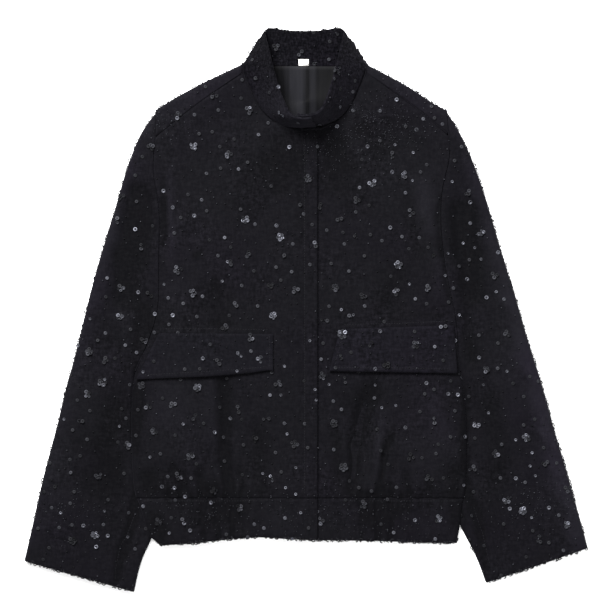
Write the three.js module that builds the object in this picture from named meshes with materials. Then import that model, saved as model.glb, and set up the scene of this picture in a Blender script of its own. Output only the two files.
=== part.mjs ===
// A short aviator jacket in thick textured cloth with a hidden placket, closed and laid out flat, front up.
// Millimetres, +Z up. X runs across the jacket, +Y towards the collar, and the floor is z = 0.
// Each piece of cloth is a closed wall: an outer grid of points worked out from the tables below,
// an inner grid one wall thickness behind it, and a rim round its edges.
import * as THREE from "three";

// Driving sizes.
const WALL = 2.6; // shell cloth with its backing
const LINING_WALL = 1.0;
const SEAM = 0.4; // room between two pieces at a seam
const ARMHOLE_SEAM = 0.8;
const NECK_X = -2; // middle of the neck
const LAP_EDGE_X = 14.7; // edge of the front that lies on top
const UNDERLAP_EDGE_X = -17; // edge of the front that lies below it
const HEM_SEAM_Y = -240;
const HEM_CORNER_X = 190;
const MIDDLE_HEIGHT = 7.6; // top of the lower front along the middle of the body
const LAP_RISE = WALL + 0.7; // how far the upper front lies above the lower one
const LAP_RAMP = 46; // how far from the lower front's edge that rise fades out
const LAP_ROOM = 4; // the rise is whole this far before that edge
const SHOULDER_LAP_LOSS = 0.2; // part of the rise that is lost where the shoulder is raised itself
const SHOULDER_RADIUS = 6;
const COLLAR_HALF_WIDTH = 80.2; // neck point of the shoulder, from the middle of the neck
const UNDERARM_Y = -84;
const ARMHOLE_FLAT_Y = -35; // above this the armhole seam lies on the top layer
const BORDER = 135; // how far from the side the body stays thicker than along its middle
const SHOULDER_BORDER = 60; // the same below the shoulder seam
const PUFF_RISE = 2.6; // fullness of the body beside each pocket
const CALM = { side: 16, hem: 14, hemRoom: 4 }; // the fronts' folds fade out towards the side and the hem
// The shoulder seam, from the neck to the arm, with its bow.
const SHOULDER_SEAM = { neckY: 303, armY: 222, armOut: 190, bow: 3 };
const ARM_TOP_Y = 250; // top of the armhole
const BACK_NECK = { y: 311.5, drop: 2.2, dropFrom: 50, dropOver: 30 };
// Small gathers of the hem band, and wider folds above it: where they start and stop, out from the middle.
const GATHER = { depth: 0.9, pitch: 10.6, from: 60, fadeIn: 14, to: 190, fadeOut: 10, edgeShare: 0.55 };
const BLOUSE_FOLD = { depth: 1.1, pitch: 23, height: 75, lean: 0.09, from: 62, fadeIn: 22, to: 200, fadeOut: 14 };
const FLAP_WALL = 2.4;
const FLAP_CLEARANCE = 0.5;
const FLAP_LIFT = 3.5; // the lower edge of each flap stands this much higher than its seam
const EDGE_STEPS = [0, 3.1, 6.3, 9.5]; // distances round a folded edge, where the mesh is finer

// Half the thickness of the folded side of the body, by height on the jacket.
const SIDE_RADIUS = [
  { y: -301, radius: 5 },
  { y: -240, radius: 5 },
  { y: -214, radius: 5.8 },
  { y: -170, radius: 6 },
  { y: 320, radius: 6 },
];

// The lower edge of the jacket, a little higher where the placket pulls it up.
const HEM_LINE = [
  { x: -186, y: -301 },
  { x: -172, y: -299.6 },
  { x: -150, y: -298.6 },
  { x: -110, y: -294 },
  { x: -62, y: -290.4 },
  { x: 0, y: -293.6 },
  { x: 84, y: -295 },
  { x: 177, y: -297.6 },
  { x: 193, y: -297.8 },
];

// Where the body is full beside the pockets, across from its folded side and up from the hem.
const PUFF_ACROSS = [
  { fromSide: 0, share: 0 },
  { fromSide: 26, share: 1 },
  { fromSide: 42, share: 1 },
  { fromSide: 150, share: 0 },
];
const PUFF_UP = [
  { y: -236, share: 0 },
  { y: -196, share: 1 },
  { y: -55, share: 1 },
  { y: 5, share: 0.38 },
  { y: 95, share: 0.35 },
  { y: 160, share: 0 },
];

// The body's side edges, and above the underarm its armhole seams.
const SIDES = [
  { y: -301, left: -186.4, right: 192.4 },
  { y: -290, left: -196.6, right: 194.6 },
  { y: -274, left: -204.3, right: 197.3 },
  { y: -246, left: -214.5, right: 200.3 },
  { y: -217, left: -220.2, right: 203.8 },
  { y: -166, left: -222.5, right: 205 },
  { y: -120, left: -222.2, right: 203 },
  { y: -84, left: -220.5, right: 198.5 },
  { y: -68, left: -214, right: 195.5 },
  { y: -52, left: -206, right: 194 },
  { y: -35, left: -199.7, right: 193.6 },
  { y: -15, left: -192.5, right: 192 },
  { y: 13, left: -187.2, right: 187 },
  { y: 45, left: -188.3, right: 180 },
  { y: 80, left: -187.8, right: 174.5 },
  { y: 115, left: -186.8, right: 172 },
  { y: 150, left: -190.2, right: 173.5 },
  { y: 177, left: -195, right: 179 },
  { y: 200, left: -194.5, right: 184 },
  { y: 222, left: -192.5, right: 183.5 },
  { y: 250, left: -190.5, right: 177.5 },
];

// The outer edges of the sleeves.
const SLEEVE_EDGE = [
  { y: 252, left: -193.5, right: 181.5 },
  { y: 241, left: -202.3, right: 189.6 },
  { y: 231, left: -210, right: 194.8 },
  { y: 210, left: -219, right: 206 },
  { y: 180, left: -230.3, right: 217.6 },
  { y: 139, left: -242, right: 231.7 },
  { y: 98, left: -254.7, right: 243.2 },
  { y: 57, left: -267.5, right: 256 },
  { y: 16, left: -277.8, right: 268.8 },
  { y: -25, left: -288, right: 280.3 },
  { y: -66, left: -298.2, right: 293.1 },
  { y: -107, left: -309.8, right: 305.9 },
  { y: -148, left: -318.7, right: 316.2 },
  { y: -189, left: -330.2, right: 329 },
  { y: -230, left: -340.5, right: 340.5 },
  { y: -271, left: -349.4, right: 352 },
  { y: -304, left: -357, right: 361 },
  { y: -321, left: -361, right: 365 },
];

// The inner edges of the sleeves below the underarm, along the side of the body and past its hem.
const SLEEVE_INSIDE = [
  { y: -84, left: -221, right: 199 },
  { y: -115, left: -222.8, right: 203.2 },
  { y: -150, left: -223.2, right: 205.2 },
  { y: -190, left: -222.2, right: 205.2 },
  { y: -232, left: -218.2, right: 202.8 },
  { y: -262, left: -209.2, right: 199.3 },
  { y: -274, left: -204.9, right: 198.6 },
  { y: -290, left: -198, right: 206.2 },
  { y: -312, left: -207.4, right: 215.8 },
  { y: -332, left: -213.8, right: 224.3 },
  { y: -349, left: -217.6, right: 229.8 },
  { y: -360, left: -219.6, right: 233 },
];
const CUFF = {
  left: { inside: -360.3, outside: -320.6 },
  right: { inside: -348.8, outside: -304 },
};

// The folded top of each shoulder, by distance from the middle of the neck.
const SHOULDER_LINE = [
  { out: 80, left: 315.5, right: 315 },
  { out: 107, left: 302.5, right: 301 },
  { out: 129, left: 292.5, right: 289 },
  { out: 148, left: 282, right: 277 },
  { out: 167, left: 272, right: 264 },
  { out: 181, left: 262.5, right: 255 },
  { out: 189, left: 256, right: 250 },
  { out: 194, left: 252, right: 246 },
];

// Rows of the two fronts: height at the side and height at the middle, or place along the neckline.
const FRONT_ROWS = [
  { side: -240, middle: -240 },
  { side: -230, middle: -230 },
  { side: -217, middle: -218 },
  { side: -200, middle: -202 },
  { side: -178, middle: -181 },
  { side: -150, middle: -154 },
  { side: -117, middle: -122 },
  { side: -84, middle: -90 },
  { side: -68, middle: -72 },
  { side: -52, middle: -54 },
  { side: -35, middle: -34 },
  { side: -15, middle: -8 },
  { side: 13, middle: 28 },
  { side: 45, middle: 74 },
  { side: 80, middle: 126 },
  { side: 115, middle: 180 },
  { side: 132, middle: 207 },
  { side: 150, neck: 0 },
  { side: 158, neck: 0.16 },
  { side: 167, neck: 0.34 },
  { side: 177, neck: 0.5 },
  { side: 190, neck: 0.66 },
  { side: 206, neck: 0.83 },
  { side: 222, neck: 1 },
];

// The neckline of the fronts from the middle round to the neck point of the shoulder.
const NECKLINE = [
  { part: 0, out: 0, y: 231 },
  { part: 0.16, out: 21, y: 232.6 },
  { part: 0.34, out: 42, y: 242 },
  { part: 0.5, out: 56.5, y: 256.5 },
  { part: 0.66, out: 67, y: 275 },
  { part: 0.83, out: 74, y: 290 },
  { part: 1, out: 79.4, y: 303 },
];

// The collar's outer face, from the front middle round one side to the back middle.
const COLLAR = [
  { outBase: 0, yBase: 232, zBase: 7.4, outTop: 0, yTop: 247, zTop: 51 },
  { outBase: 20, yBase: 233.6, zBase: 8, outTop: 12, yTop: 249, zTop: 50.5 },
  { outBase: 40.6, yBase: 242.7, zBase: 9, outTop: 22, yTop: 256, zTop: 49 },
  { outBase: 55.4, yBase: 257.2, zBase: 9.6, outTop: 29, yTop: 270, zTop: 46 },
  { outBase: 65.6, yBase: 275.4, zBase: 9.9, outTop: 35.5, yTop: 290, zTop: 42 },
  { outBase: 74, yBase: 295, zBase: 10.2, outTop: 41.5, yTop: 312, zTop: 37 },
  { outBase: 78, yBase: 307.4, zBase: 10, outTop: 46.5, yTop: 335, zTop: 27 },
  { outBase: 79.4, yBase: 314.6, zBase: 6, outTop: 53, yTop: 359.2, zTop: 7 },
  { outBase: 72, yBase: 313.4, zBase: 0.4, outTop: 47, yTop: 360.2, zTop: 0.4 },
  { outBase: 46, yBase: 312.6, zBase: 0, outTop: 31, yTop: 359.2, zTop: 0 },
  { outBase: 0, yBase: 312.2, zBase: 0, outTop: 0, yTop: 358, zTop: 0 },
];
const COLLAR_STEPS = 3; // mesh steps from one row of that table to the next
const COLLAR_LAP = 0.75; // how far each end runs past the middle, in rows of that table
// The end that lies below: where it starts to step back, in rows before the lap, and how far it steps.
const COLLAR_UNDERLAP = { rows: 3, over: 2.4, back: 3.4, down: 0.6 };

// Rows of the sleeves above the underarm: height at the armhole and at the outer edge, the rise of the
// top layer between its edges, and half the thickness of its outer edge.
const SLEEVE_TOP_ROWS = [
  { armhole: 236, outside: 252, rise: 0, radius: 5.6 },
  { armhole: 222, outside: 238, rise: 0, radius: 5.4 },
  { armhole: 206, outside: 222, rise: 0.2, radius: 5.2 },
  { armhole: 190, outside: 206, rise: 0, radius: 5 },
  { armhole: 177, outside: 191, rise: -0.8, radius: 5 },
  { armhole: 167, outside: 179, rise: -1.5, radius: 5 },
  { armhole: 158, outside: 168, rise: -2.2, radius: 5 },
  { armhole: 150, outside: 159, rise: -2.8, radius: 5 },
  { armhole: 132, outside: 139, rise: -3.6, radius: 5 },
  { armhole: 115, outside: 120, rise: -4, radius: 5 },
  { armhole: 80, outside: 82, rise: -3.6, radius: 5 },
  { armhole: 45, outside: 44, rise: -2, radius: 5 },
  { armhole: 13, outside: 9, rise: -0.4, radius: 5 },
  { armhole: -15, outside: -22, rise: 0.6, radius: 5 },
  { armhole: -35, outside: -47, rise: 1.4, radius: 5 },
  { armhole: -52, outside: -70, rise: 1.8, radius: 5 },
  { armhole: -68, outside: -91, rise: 2.2, radius: 5 },
  { armhole: -84, outside: -112, rise: 2.4, radius: 5 },
];

// Rows below the underarm, as a share of the way to the cuff.
const SLEEVE_LOW_ROWS = [
  { share: 0.13, rise: 2.6, radius: 4.8, inside: 4.6 },
  { share: 0.28, rise: 2.8, radius: 4.8, inside: 4.2 },
  { share: 0.42, rise: 2.8, radius: 4.7, inside: 4.1 },
  { share: 0.56, rise: 2.6, radius: 4.7, inside: 4.1 },
  { share: 0.66, rise: 2.6, radius: 4.6, inside: 4.1 },
  { share: 0.705, rise: 2.5, radius: 4.6, inside: 4.1 },
  { share: 0.75, rise: 2.4, radius: 4.6, inside: 4.1 },
  { share: 0.83, rise: 2.2, radius: 4.6, inside: 4.2 },
  { share: 0.92, rise: 2, radius: 4.6, inside: 4.3 },
  { share: 1, rise: 1.8, radius: 4.6, inside: 4.4 },
];

// The largest soft folds of the fronts: two ends, half width and depth (a ridge is negative).
const FOLDS = [
  { x0: -107, y0: -88, x1: -104, y1: -196, half: 13, depth: 2.4 },
  { x0: -104, y0: -190, x1: -86, y1: -236, half: 11, depth: 1.8 },
  { x0: 88, y0: -92, x1: 68, y1: -150, half: 14, depth: 2.6 },
  { x0: 68, y0: -146, x1: 58, y1: -234, half: 12, depth: 2.4 },
  { x0: 118, y0: -136, x1: 87, y1: -238, half: 9, depth: -2.2 },
  { x0: 124, y0: -158, x1: 100, y1: -238, half: 9, depth: 1.6 },
  { x0: -96, y0: 52, x1: -112, y1: -10, half: 26, depth: 1.2 },
  { x0: 104, y0: 96, x1: 118, y1: 10, half: 28, depth: 1.2 },
  { x0: -30, y0: -110, x1: -34, y1: -214, half: 20, depth: 0.8 },
];

// The corners of the pocket flaps: top then bottom, from the middle of the jacket outwards.
const FLAPS = {
  right: { topX0: -42.2, topY0: -30, topX1: -188, topY1: -28.8, lowX0: -42.2, lowY0: -78.7, lowX1: -217.5, lowY1: -85 },
  left: { topX0: 43.5, topY0: -23.7, topX1: 189, topY1: -18.6, lowX0: 29.4, lowY0: -77.4, lowX1: 193.5, lowY1: -80 },
};

// The lining in the neck opening and the size label.
const LINING = { bottomY: 222, topY: 312.9, endDrop: 2.6, flatHalf: 40, halfTop: 73, halfBottom: 44 };
const PLEAT = { x: 2.5, half: 9, rise: 1.6, bottomY: 240, fade: 20 };
const LABEL = { x: -3, y: 318.3, width: 14, height: 10, thickness: 0.6 };

// Smooth step from 0 to 1.
function smooth(t) {
  const c = Math.min(1, Math.max(0, t));
  return c * c * (3 - 2 * c);
}

function mix(a, b, t) {
  return a + (b - a) * t;
}

// A value from a table, by a smooth curve through its rows that doesn't overshoot.
function read(table, by, at, column) {
  const rising = table[0][by] < table[table.length - 1][by];
  const rows = rising ? table : [...table].reverse();
  const last = rows.length - 1;
  if (at <= rows[0][by]) return rows[0][column];
  if (at >= rows[last][by]) return rows[last][column];
  let k = 0;
  while (rows[k + 1][by] < at) k += 1;
  const slope = (i) => (rows[i + 1][column] - rows[i][column]) / (rows[i + 1][by] - rows[i][by]);
  const tangent = (i) => {
    if (i === 0) return slope(0);
    if (i === last) return slope(last - 1);
    const before = slope(i - 1);
    const after = slope(i);
    return before * after <= 0 ? 0 : (2 * before * after) / (before + after);
  };
  const span = rows[k + 1][by] - rows[k][by];
  const t = (at - rows[k][by]) / span;
  const start = rows[k][column] * (1 + 2 * t) * (1 - t) ** 2 + tangent(k) * span * t * (1 - t) ** 2;
  return start + rows[k + 1][column] * t * t * (3 - 2 * t) - tangent(k + 1) * span * t * t * (1 - t);
}

// The direction of a grid line at one of its points, taken from three points also at its ends.
function slopeAt(point, n, last) {
  if (n > 0 && n < last) return point(n + 1).sub(point(n - 1));
  const step = n === 0 ? 1 : -1;
  if (last < 2) return point(1).sub(point(0));
  const far = point(n + 2 * step);
  return point(n + step).multiplyScalar(4).sub(far).addScaledVector(point(n), -3).multiplyScalar(step);
}

// A wall of cloth: place(i, j) is the outer surface, which faces the side where i turns to j by the right
// hand, relief(i, j) raises only the outer points, and kept(i, j) leaves cells of the grid out.
function wall(columns, rows, place, { thickness = WALL, relief = () => 0, kept = () => true } = {}) {
  const at = (i, j) => new THREE.Vector3(...place(i, j));
  const outer = [];
  const inner = [];
  for (let j = 0; j <= rows; j += 1) {
    for (let i = 0; i <= columns; i += 1) {
      const along = slopeAt((n) => at(n, j), i, columns);
      const up = slopeAt((n) => at(i, n), j, rows);
      const normal = along.cross(up).normalize();
      const point = at(i, j);
      inner.push(point.clone().addScaledVector(normal, -thickness));
      outer.push(point.addScaledVector(normal, relief(i, j)));
    }
  }
  const count = outer.length;
  const index = (i, j) => j * (columns + 1) + i;
  const isKept = (i, j) => i >= 0 && j >= 0 && i < columns && j < rows && kept(i, j);
  const faces = [];
  const quad = (a, b, c, d) => faces.push(a, b, c, a, c, d);
  const rim = (a, b) => quad(b, a, a + count, b + count);
  for (let j = 0; j < rows; j += 1) {
    for (let i = 0; i < columns; i += 1) {
      if (!isKept(i, j)) continue;
      const [a, b, c, d] = [index(i, j), index(i + 1, j), index(i + 1, j + 1), index(i, j + 1)];
      quad(a, b, c, d);
      quad(a + count, d + count, c + count, b + count);
      if (!isKept(i, j - 1)) rim(a, b);
      if (!isKept(i + 1, j)) rim(b, c);
      if (!isKept(i, j + 1)) rim(c, d);
      if (!isKept(i - 1, j)) rim(d, a);
    }
  }
  const used = new Map();
  const positions = [];
  const points = [...outer, ...inner];
  const triangles = faces.map((k) => {
    if (!used.has(k)) {
      used.set(k, used.size);
      positions.push(...points[k].toArray());
    }
    return used.get(k);
  });
  const geometry = new THREE.BufferGeometry();
  geometry.setAttribute("position", new THREE.Float32BufferAttribute(positions, 3));
  geometry.setIndex(triangles);
  geometry.computeVertexNormals();
  return geometry;
}

// How far the section is turned open at the armhole: 0 on the folded side, a right angle on the flat armhole.
function openAngle(y) {
  return (Math.PI / 2) * smooth((y - UNDERARM_Y) / (ARMHOLE_FLAT_Y - UNDERARM_Y));
}

// Distance round the quarter fold that is left at that height.
function foldLength(y, radius) {
  return radius * (Math.PI / 2 - openAngle(y));
}

// A place on a section, at a distance round it from its edge: how far in it is, and its height while it is
// still on the fold. up is 1 for the top layer and -1 for the bottom one.
function onFold(distance, y, radius, up) {
  const open = openAngle(y);
  const arc = foldLength(y, radius);
  if (distance < arc) {
    const angle = open + distance / radius;
    return { inset: radius * (Math.cos(open) - Math.cos(angle)), z: radius * (1 + up * Math.sin(angle)) };
  }
  return { inset: radius * Math.cos(open) + distance - arc, z: up > 0 ? 2 * radius : 0 };
}

// The front seam of the shoulder, where the back ends and the fronts begin.
function shoulderSeam(out) {
  const reach = (out - COLLAR_HALF_WIDTH) / (SHOULDER_SEAM.armOut - COLLAR_HALF_WIDTH);
  const bow = SHOULDER_SEAM.bow * Math.sin(Math.PI * Math.min(1, Math.max(0, reach)));
  return mix(SHOULDER_SEAM.neckY, SHOULDER_SEAM.armY, reach) + bow;
}

// Depth of the soft folds at a place. Each fades out over the last quarter of its length.
function foldDepth(x, y) {
  let depth = 0;
  for (const fold of FOLDS) {
    const dx = fold.x1 - fold.x0;
    const dy = fold.y1 - fold.y0;
    const along = ((x - fold.x0) * dx + (y - fold.y0) * dy) / (dx * dx + dy * dy);
    const near = Math.min(1, Math.max(0, along));
    const away = Math.hypot(x - fold.x0 - near * dx, y - fold.y0 - near * dy);
    depth += fold.depth * smooth(1 - away / (fold.half * 1.6)) * smooth(4 * along + 0.4) * smooth(4.4 - 4 * along);
  }
  return depth;
}

// Height of the top layer of the body over the floor. lap is 1 on the upper front and 0 on the lower one.
function bodyHeight(x, y, lap) {
  const side = x < NECK_X ? "left" : "right";
  const edge = read(SIDES, "y", y, side);
  const radius = read(SIDE_RADIUS, "y", y, "radius");
  const fromSide = Math.abs(edge - x) - radius;
  const fromShoulder = shoulderSeam(Math.abs(x - NECK_X)) - y;
  const raised = 1 - smooth(fromSide / BORDER) * smooth(fromShoulder / SHOULDER_BORDER);
  const puff = PUFF_RISE * read(PUFF_ACROSS, "fromSide", fromSide, "share") * read(PUFF_UP, "y", y, "share");
  const lapReach = smooth((x - UNDERLAP_EDGE_X + LAP_RAMP) / (LAP_RAMP - LAP_ROOM));
  const lapRise = lap * LAP_RISE * lapReach * (1 - SHOULDER_LAP_LOSS * raised);
  const calm = smooth(fromSide / CALM.side) * smooth((y - HEM_SEAM_Y - CALM.hemRoom) / CALM.hem);
  return mix(MIDDLE_HEIGHT, 2 * radius, raised) + puff + lapRise - calm * foldDepth(x, y);
}

// Distances across a front: fine at its folded edge, even over the rest.
function acrossFront(step, steps, length) {
  if (step < EDGE_STEPS.length) return EDGE_STEPS[step];
  const first = EDGE_STEPS[EDGE_STEPS.length - 1];
  return mix(first, length, (step - EDGE_STEPS.length + 1) / (steps - EDGE_STEPS.length + 1));
}

// One row of a front runs level from the side of the body to the middle edge or the neckline.
function frontPoint(hand, row, step, steps) {
  const sign = hand === "left" ? -1 : 1;
  const sideY = row.side;
  const sideX = read(SIDES, "y", sideY, hand);
  const middleEdge = hand === "left" ? LAP_EDGE_X : UNDERLAP_EDGE_X;
  let endX = middleEdge;
  let endY = row.middle;
  if (row.neck !== undefined) {
    const out = read(NECKLINE, "part", row.neck, "out");
    endX = mix(middleEdge, NECK_X + sign * out, smooth(row.neck / NECKLINE[1].part));
    endY = read(NECKLINE, "part", row.neck, "y");
  }
  const length = Math.hypot(endX - sideX, endY - sideY);
  const radius = read(SIDE_RADIUS, "y", sideY, "radius");
  const arc = foldLength(sideY, radius);
  const flat = length - radius * Math.cos(openAngle(sideY));
  const distance = acrossFront(step, steps, arc + flat);
  const place = onFold(distance, sideY, radius, 1);
  const share = place.inset / length;
  const x = mix(sideX, endX, share);
  let y = mix(sideY, endY, share);
  if (row === FRONT_ROWS[FRONT_ROWS.length - 1]) {
    const bowed = y + SHOULDER_SEAM.bow * Math.sin(Math.PI * share);
    y = Math.min(shoulderSeam(Math.abs(x - NECK_X)), bowed) - SEAM;
  }
  const z = distance < arc ? place.z : bodyHeight(x, y, hand === "left" ? 1 : 0);
  return [x, y, distance < 0.01 && arc > 0.1 ? z + SEAM / 2 : z];
}

// Share of a row of gathers at a distance from the middle: it fades in and out at its two ends.
function within(out, { from, fadeIn, to, fadeOut }) {
  return smooth((out - from) / fadeIn) * smooth((to - out) / fadeOut);
}

// Folds that spread up into the body from the gathered hem, only in the outer points.
function blouseRelief(x, y) {
  const out = Math.abs(x - NECK_X);
  const above = y - HEM_SEAM_Y;
  const wave = Math.sin((2 * Math.PI * (out - above * BLOUSE_FOLD.lean)) / BLOUSE_FOLD.pitch);
  return BLOUSE_FOLD.depth * within(out, BLOUSE_FOLD) * smooth(1 - above / BLOUSE_FOLD.height) * wave;
}

function front(hand) {
  const steps = 28;
  const rows = FRONT_ROWS.length - 1;
  const step = (i) => (hand === "left" ? i : steps - i);
  const place = (i, j) => frontPoint(hand, FRONT_ROWS[j], step(i), steps);
  const relief = (i, j) => {
    const [x, y] = place(i, j);
    return step(i) > 2 ? blouseRelief(x, y) : 0;
  };
  return wall(steps, rows, place, { relief });
}

// The lower edge of the hem at a place across the jacket.
function hemY(x) {
  return read(HEM_LINE, "x", x, "y");
}

// Height of a row of the hem band: share is 0 at its lower edge and 1 at its seam.
function hemRow(x, share) {
  return mix(hemY(x), HEM_SEAM_Y - SEAM, share);
}

// The hem band of one front, gathered beside the plain middle.
function hemFront(hand) {
  const steps = 48;
  const rows = 3;
  const sign = hand === "left" ? -1 : 1;
  const step = (i) => (hand === "left" ? i : steps - i);
  const place = (i, j) => {
    const share = j / rows;
    const middle = hand === "left" ? LAP_EDGE_X : UNDERLAP_EDGE_X;
    const sideY = hemRow(sign * HEM_CORNER_X, share);
    const sideX = read(SIDES, "y", sideY, hand);
    const radius = read(SIDE_RADIUS, "y", sideY, "radius");
    const arc = foldLength(sideY, radius);
    const distance = acrossFront(step(i), steps, arc + Math.abs(middle - sideX) - radius);
    const fold = onFold(distance, sideY, radius, 1);
    const x = sideX - sign * fold.inset;
    const y = hemRow(x, share);
    const z = distance < arc ? fold.z : bodyHeight(x, y, hand === "left" ? 1 : 0);
    return [x, y, distance < 0.01 ? z + SEAM / 2 : z];
  };
  const relief = (i, j) => {
    const [x] = place(i, j);
    const out = Math.abs(x - NECK_X);
    const depth = GATHER.depth * within(out, GATHER) * (j === 0 ? GATHER.edgeShare : 1);
    return step(i) > 2 ? depth * Math.sin((2 * Math.PI * out) / GATHER.pitch) : 0;
  };
  return wall(steps, rows, place, { relief });
}

// Distances across half the back, as a share of the way from the middle to the side, and fine at the fold.
const BACK_NECK_STEPS = 4;
const BACK_SHOULDER_STEPS = 5;
const BACK_HALF_STEPS = BACK_NECK_STEPS + BACK_SHOULDER_STEPS + EDGE_STEPS.length;

// One half row of the back, flat on the floor and turned up round the side.
function backPoint(hand, k, sideY, levelY) {
  const sideX = read(SIDES, "y", sideY, hand);
  const radius = read(SIDE_RADIUS, "y", sideY, "radius");
  const neck = COLLAR_HALF_WIDTH / Math.abs(read(SIDES, "y", ARM_TOP_Y, hand) - NECK_X);
  const fromEdge = EDGE_STEPS[BACK_HALF_STEPS - k] ?? null;
  const length = Math.abs(sideX - NECK_X);
  const arc = foldLength(sideY, radius);
  let distance = fromEdge;
  if (fromEdge === null) {
    const last = length - EDGE_STEPS[EDGE_STEPS.length - 1];
    const neckX = neck * length;
    const inward =
      k <= BACK_NECK_STEPS
        ? (k / BACK_NECK_STEPS) * neckX
        : mix(neckX, last, (k - BACK_NECK_STEPS) / (BACK_SHOULDER_STEPS + 1));
    distance = length - inward + arc - radius * Math.cos(openAngle(sideY));
  }
  const fold = onFold(distance, sideY, radius, -1);
  const x = sideX - Math.sign(sideX) * fold.inset;
  const z = fromEdge === 0 && arc > 0.1 ? fold.z - SEAM / 2 : fold.z;
  return [x, levelY(x), z];
}

// The top edge of the flat part of the back: its neck seam, then the start of the shoulder folds.
function backTop(x) {
  const out = Math.abs(x - NECK_X);
  const hand = x < NECK_X ? "left" : "right";
  if (out < COLLAR_HALF_WIDTH - 1) {
    return BACK_NECK.y - BACK_NECK.drop * smooth((out - BACK_NECK.dropFrom) / BACK_NECK.dropOver);
  }
  return read(SHOULDER_LINE, "out", out, hand) - SHOULDER_RADIUS;
}

const BACK_ROWS = [-240, -217, -185, -150, -117, -84, -68, -52, -35, -15, 13, 45, 80, 115, 150];
const BACK_TOP_ROWS = [0.25, 0.5, 0.75, 1];
const BACK_FOLD_ROWS = 5;
const BACK_RETURN_ROWS = 2;

function back() {
  const columns = 2 * BACK_HALF_STEPS;
  const flatRows = BACK_ROWS.length + BACK_TOP_ROWS.length - 1;
  const rows = flatRows + BACK_FOLD_ROWS + BACK_RETURN_ROWS;
  const place = (i, j) => {
    const k = Math.abs(i - BACK_HALF_STEPS);
    const hand = i < BACK_HALF_STEPS ? "right" : "left";
    if (j < BACK_ROWS.length) return backPoint(hand, k, BACK_ROWS[j], () => BACK_ROWS[j]);
    const last = BACK_ROWS[BACK_ROWS.length - 1];
    const share = BACK_TOP_ROWS[Math.min(j, flatRows) - BACK_ROWS.length];
    const sideTop = backTop(read(SIDES, "y", ARM_TOP_Y, hand));
    const sideY = mix(last, sideTop, share);
    const [x, y] = backPoint(hand, k, sideY, (at) => mix(last, backTop(at), share));
    if (j <= flatRows) return [x, y, 0];
    const turn = Math.min(j - flatRows, BACK_FOLD_ROWS) / BACK_FOLD_ROWS;
    const angle = Math.PI * (turn - 0.5);
    const folded = [x, y + SHOULDER_RADIUS * Math.cos(angle), SHOULDER_RADIUS * (1 + Math.sin(angle))];
    if (turn < 1) return folded;
    const returned = (j - flatRows - BACK_FOLD_ROWS) / BACK_RETURN_ROWS;
    return [x, mix(y, shoulderSeam(Math.abs(x - NECK_X)) + SEAM, returned), folded[2]];
  };
  const kept = (i, j) => j < flatRows || Math.abs(i + 0.5 - BACK_HALF_STEPS) > BACK_NECK_STEPS;
  return wall(columns, rows, place, { kept });
}

function hemBack() {
  const columns = 2 * BACK_HALF_STEPS;
  const rows = 3;
  const place = (i, j) => {
    const k = Math.abs(i - BACK_HALF_STEPS);
    const hand = i < BACK_HALF_STEPS ? "right" : "left";
    const corner = HEM_CORNER_X * (hand === "left" ? -1 : 1);
    return backPoint(hand, k, hemRow(corner, j / rows), (x) => hemRow(x, j / rows));
  };
  return wall(columns, rows, place);
}

// Rows of a sleeve from the shoulder to the cuff, with both ends of each.
function sleeveRows(hand) {
  const sign = hand === "left" ? -1 : 1;
  const top = SLEEVE_TOP_ROWS.map((row) => ({
    insideX: read(SIDES, "y", row.armhole, hand) + sign * ARMHOLE_SEAM,
    insideY: row.armhole,
    outsideX: read(SLEEVE_EDGE, "y", row.outside, hand),
    outsideY: row.outside,
    rise: row.rise,
    outsideRadius: row.radius,
    insideRadius: read(SIDE_RADIUS, "y", row.armhole, "radius"),
    open: row.armhole,
  }));
  const under = SLEEVE_TOP_ROWS[SLEEVE_TOP_ROWS.length - 1];
  const low = SLEEVE_LOW_ROWS.map((row) => {
    const insideY = mix(under.armhole, CUFF[hand].inside, row.share);
    const outsideY = mix(under.outside, CUFF[hand].outside, row.share);
    return {
      insideX: read(SLEEVE_INSIDE, "y", insideY, hand) + sign * ARMHOLE_SEAM * 0.5,
      insideY,
      outsideX: read(SLEEVE_EDGE, "y", outsideY, hand),
      outsideY,
      rise: row.rise,
      outsideRadius: row.radius,
      insideRadius: row.inside,
      open: UNDERARM_Y,
    };
  });
  return [...top, ...low];
}

const SLEEVE_TOP_STEPS = 7;
const SLEEVE_FOLD_STEPS = 6;
const SLEEVE_BOTTOM_STEPS = 2;
const SLEEVE_NARROW = 22; // a section narrower than this has its folds drawn in
const SLEEVE_CROWN = 0.4; // share of the width over which the top layer rises from each edge

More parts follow.
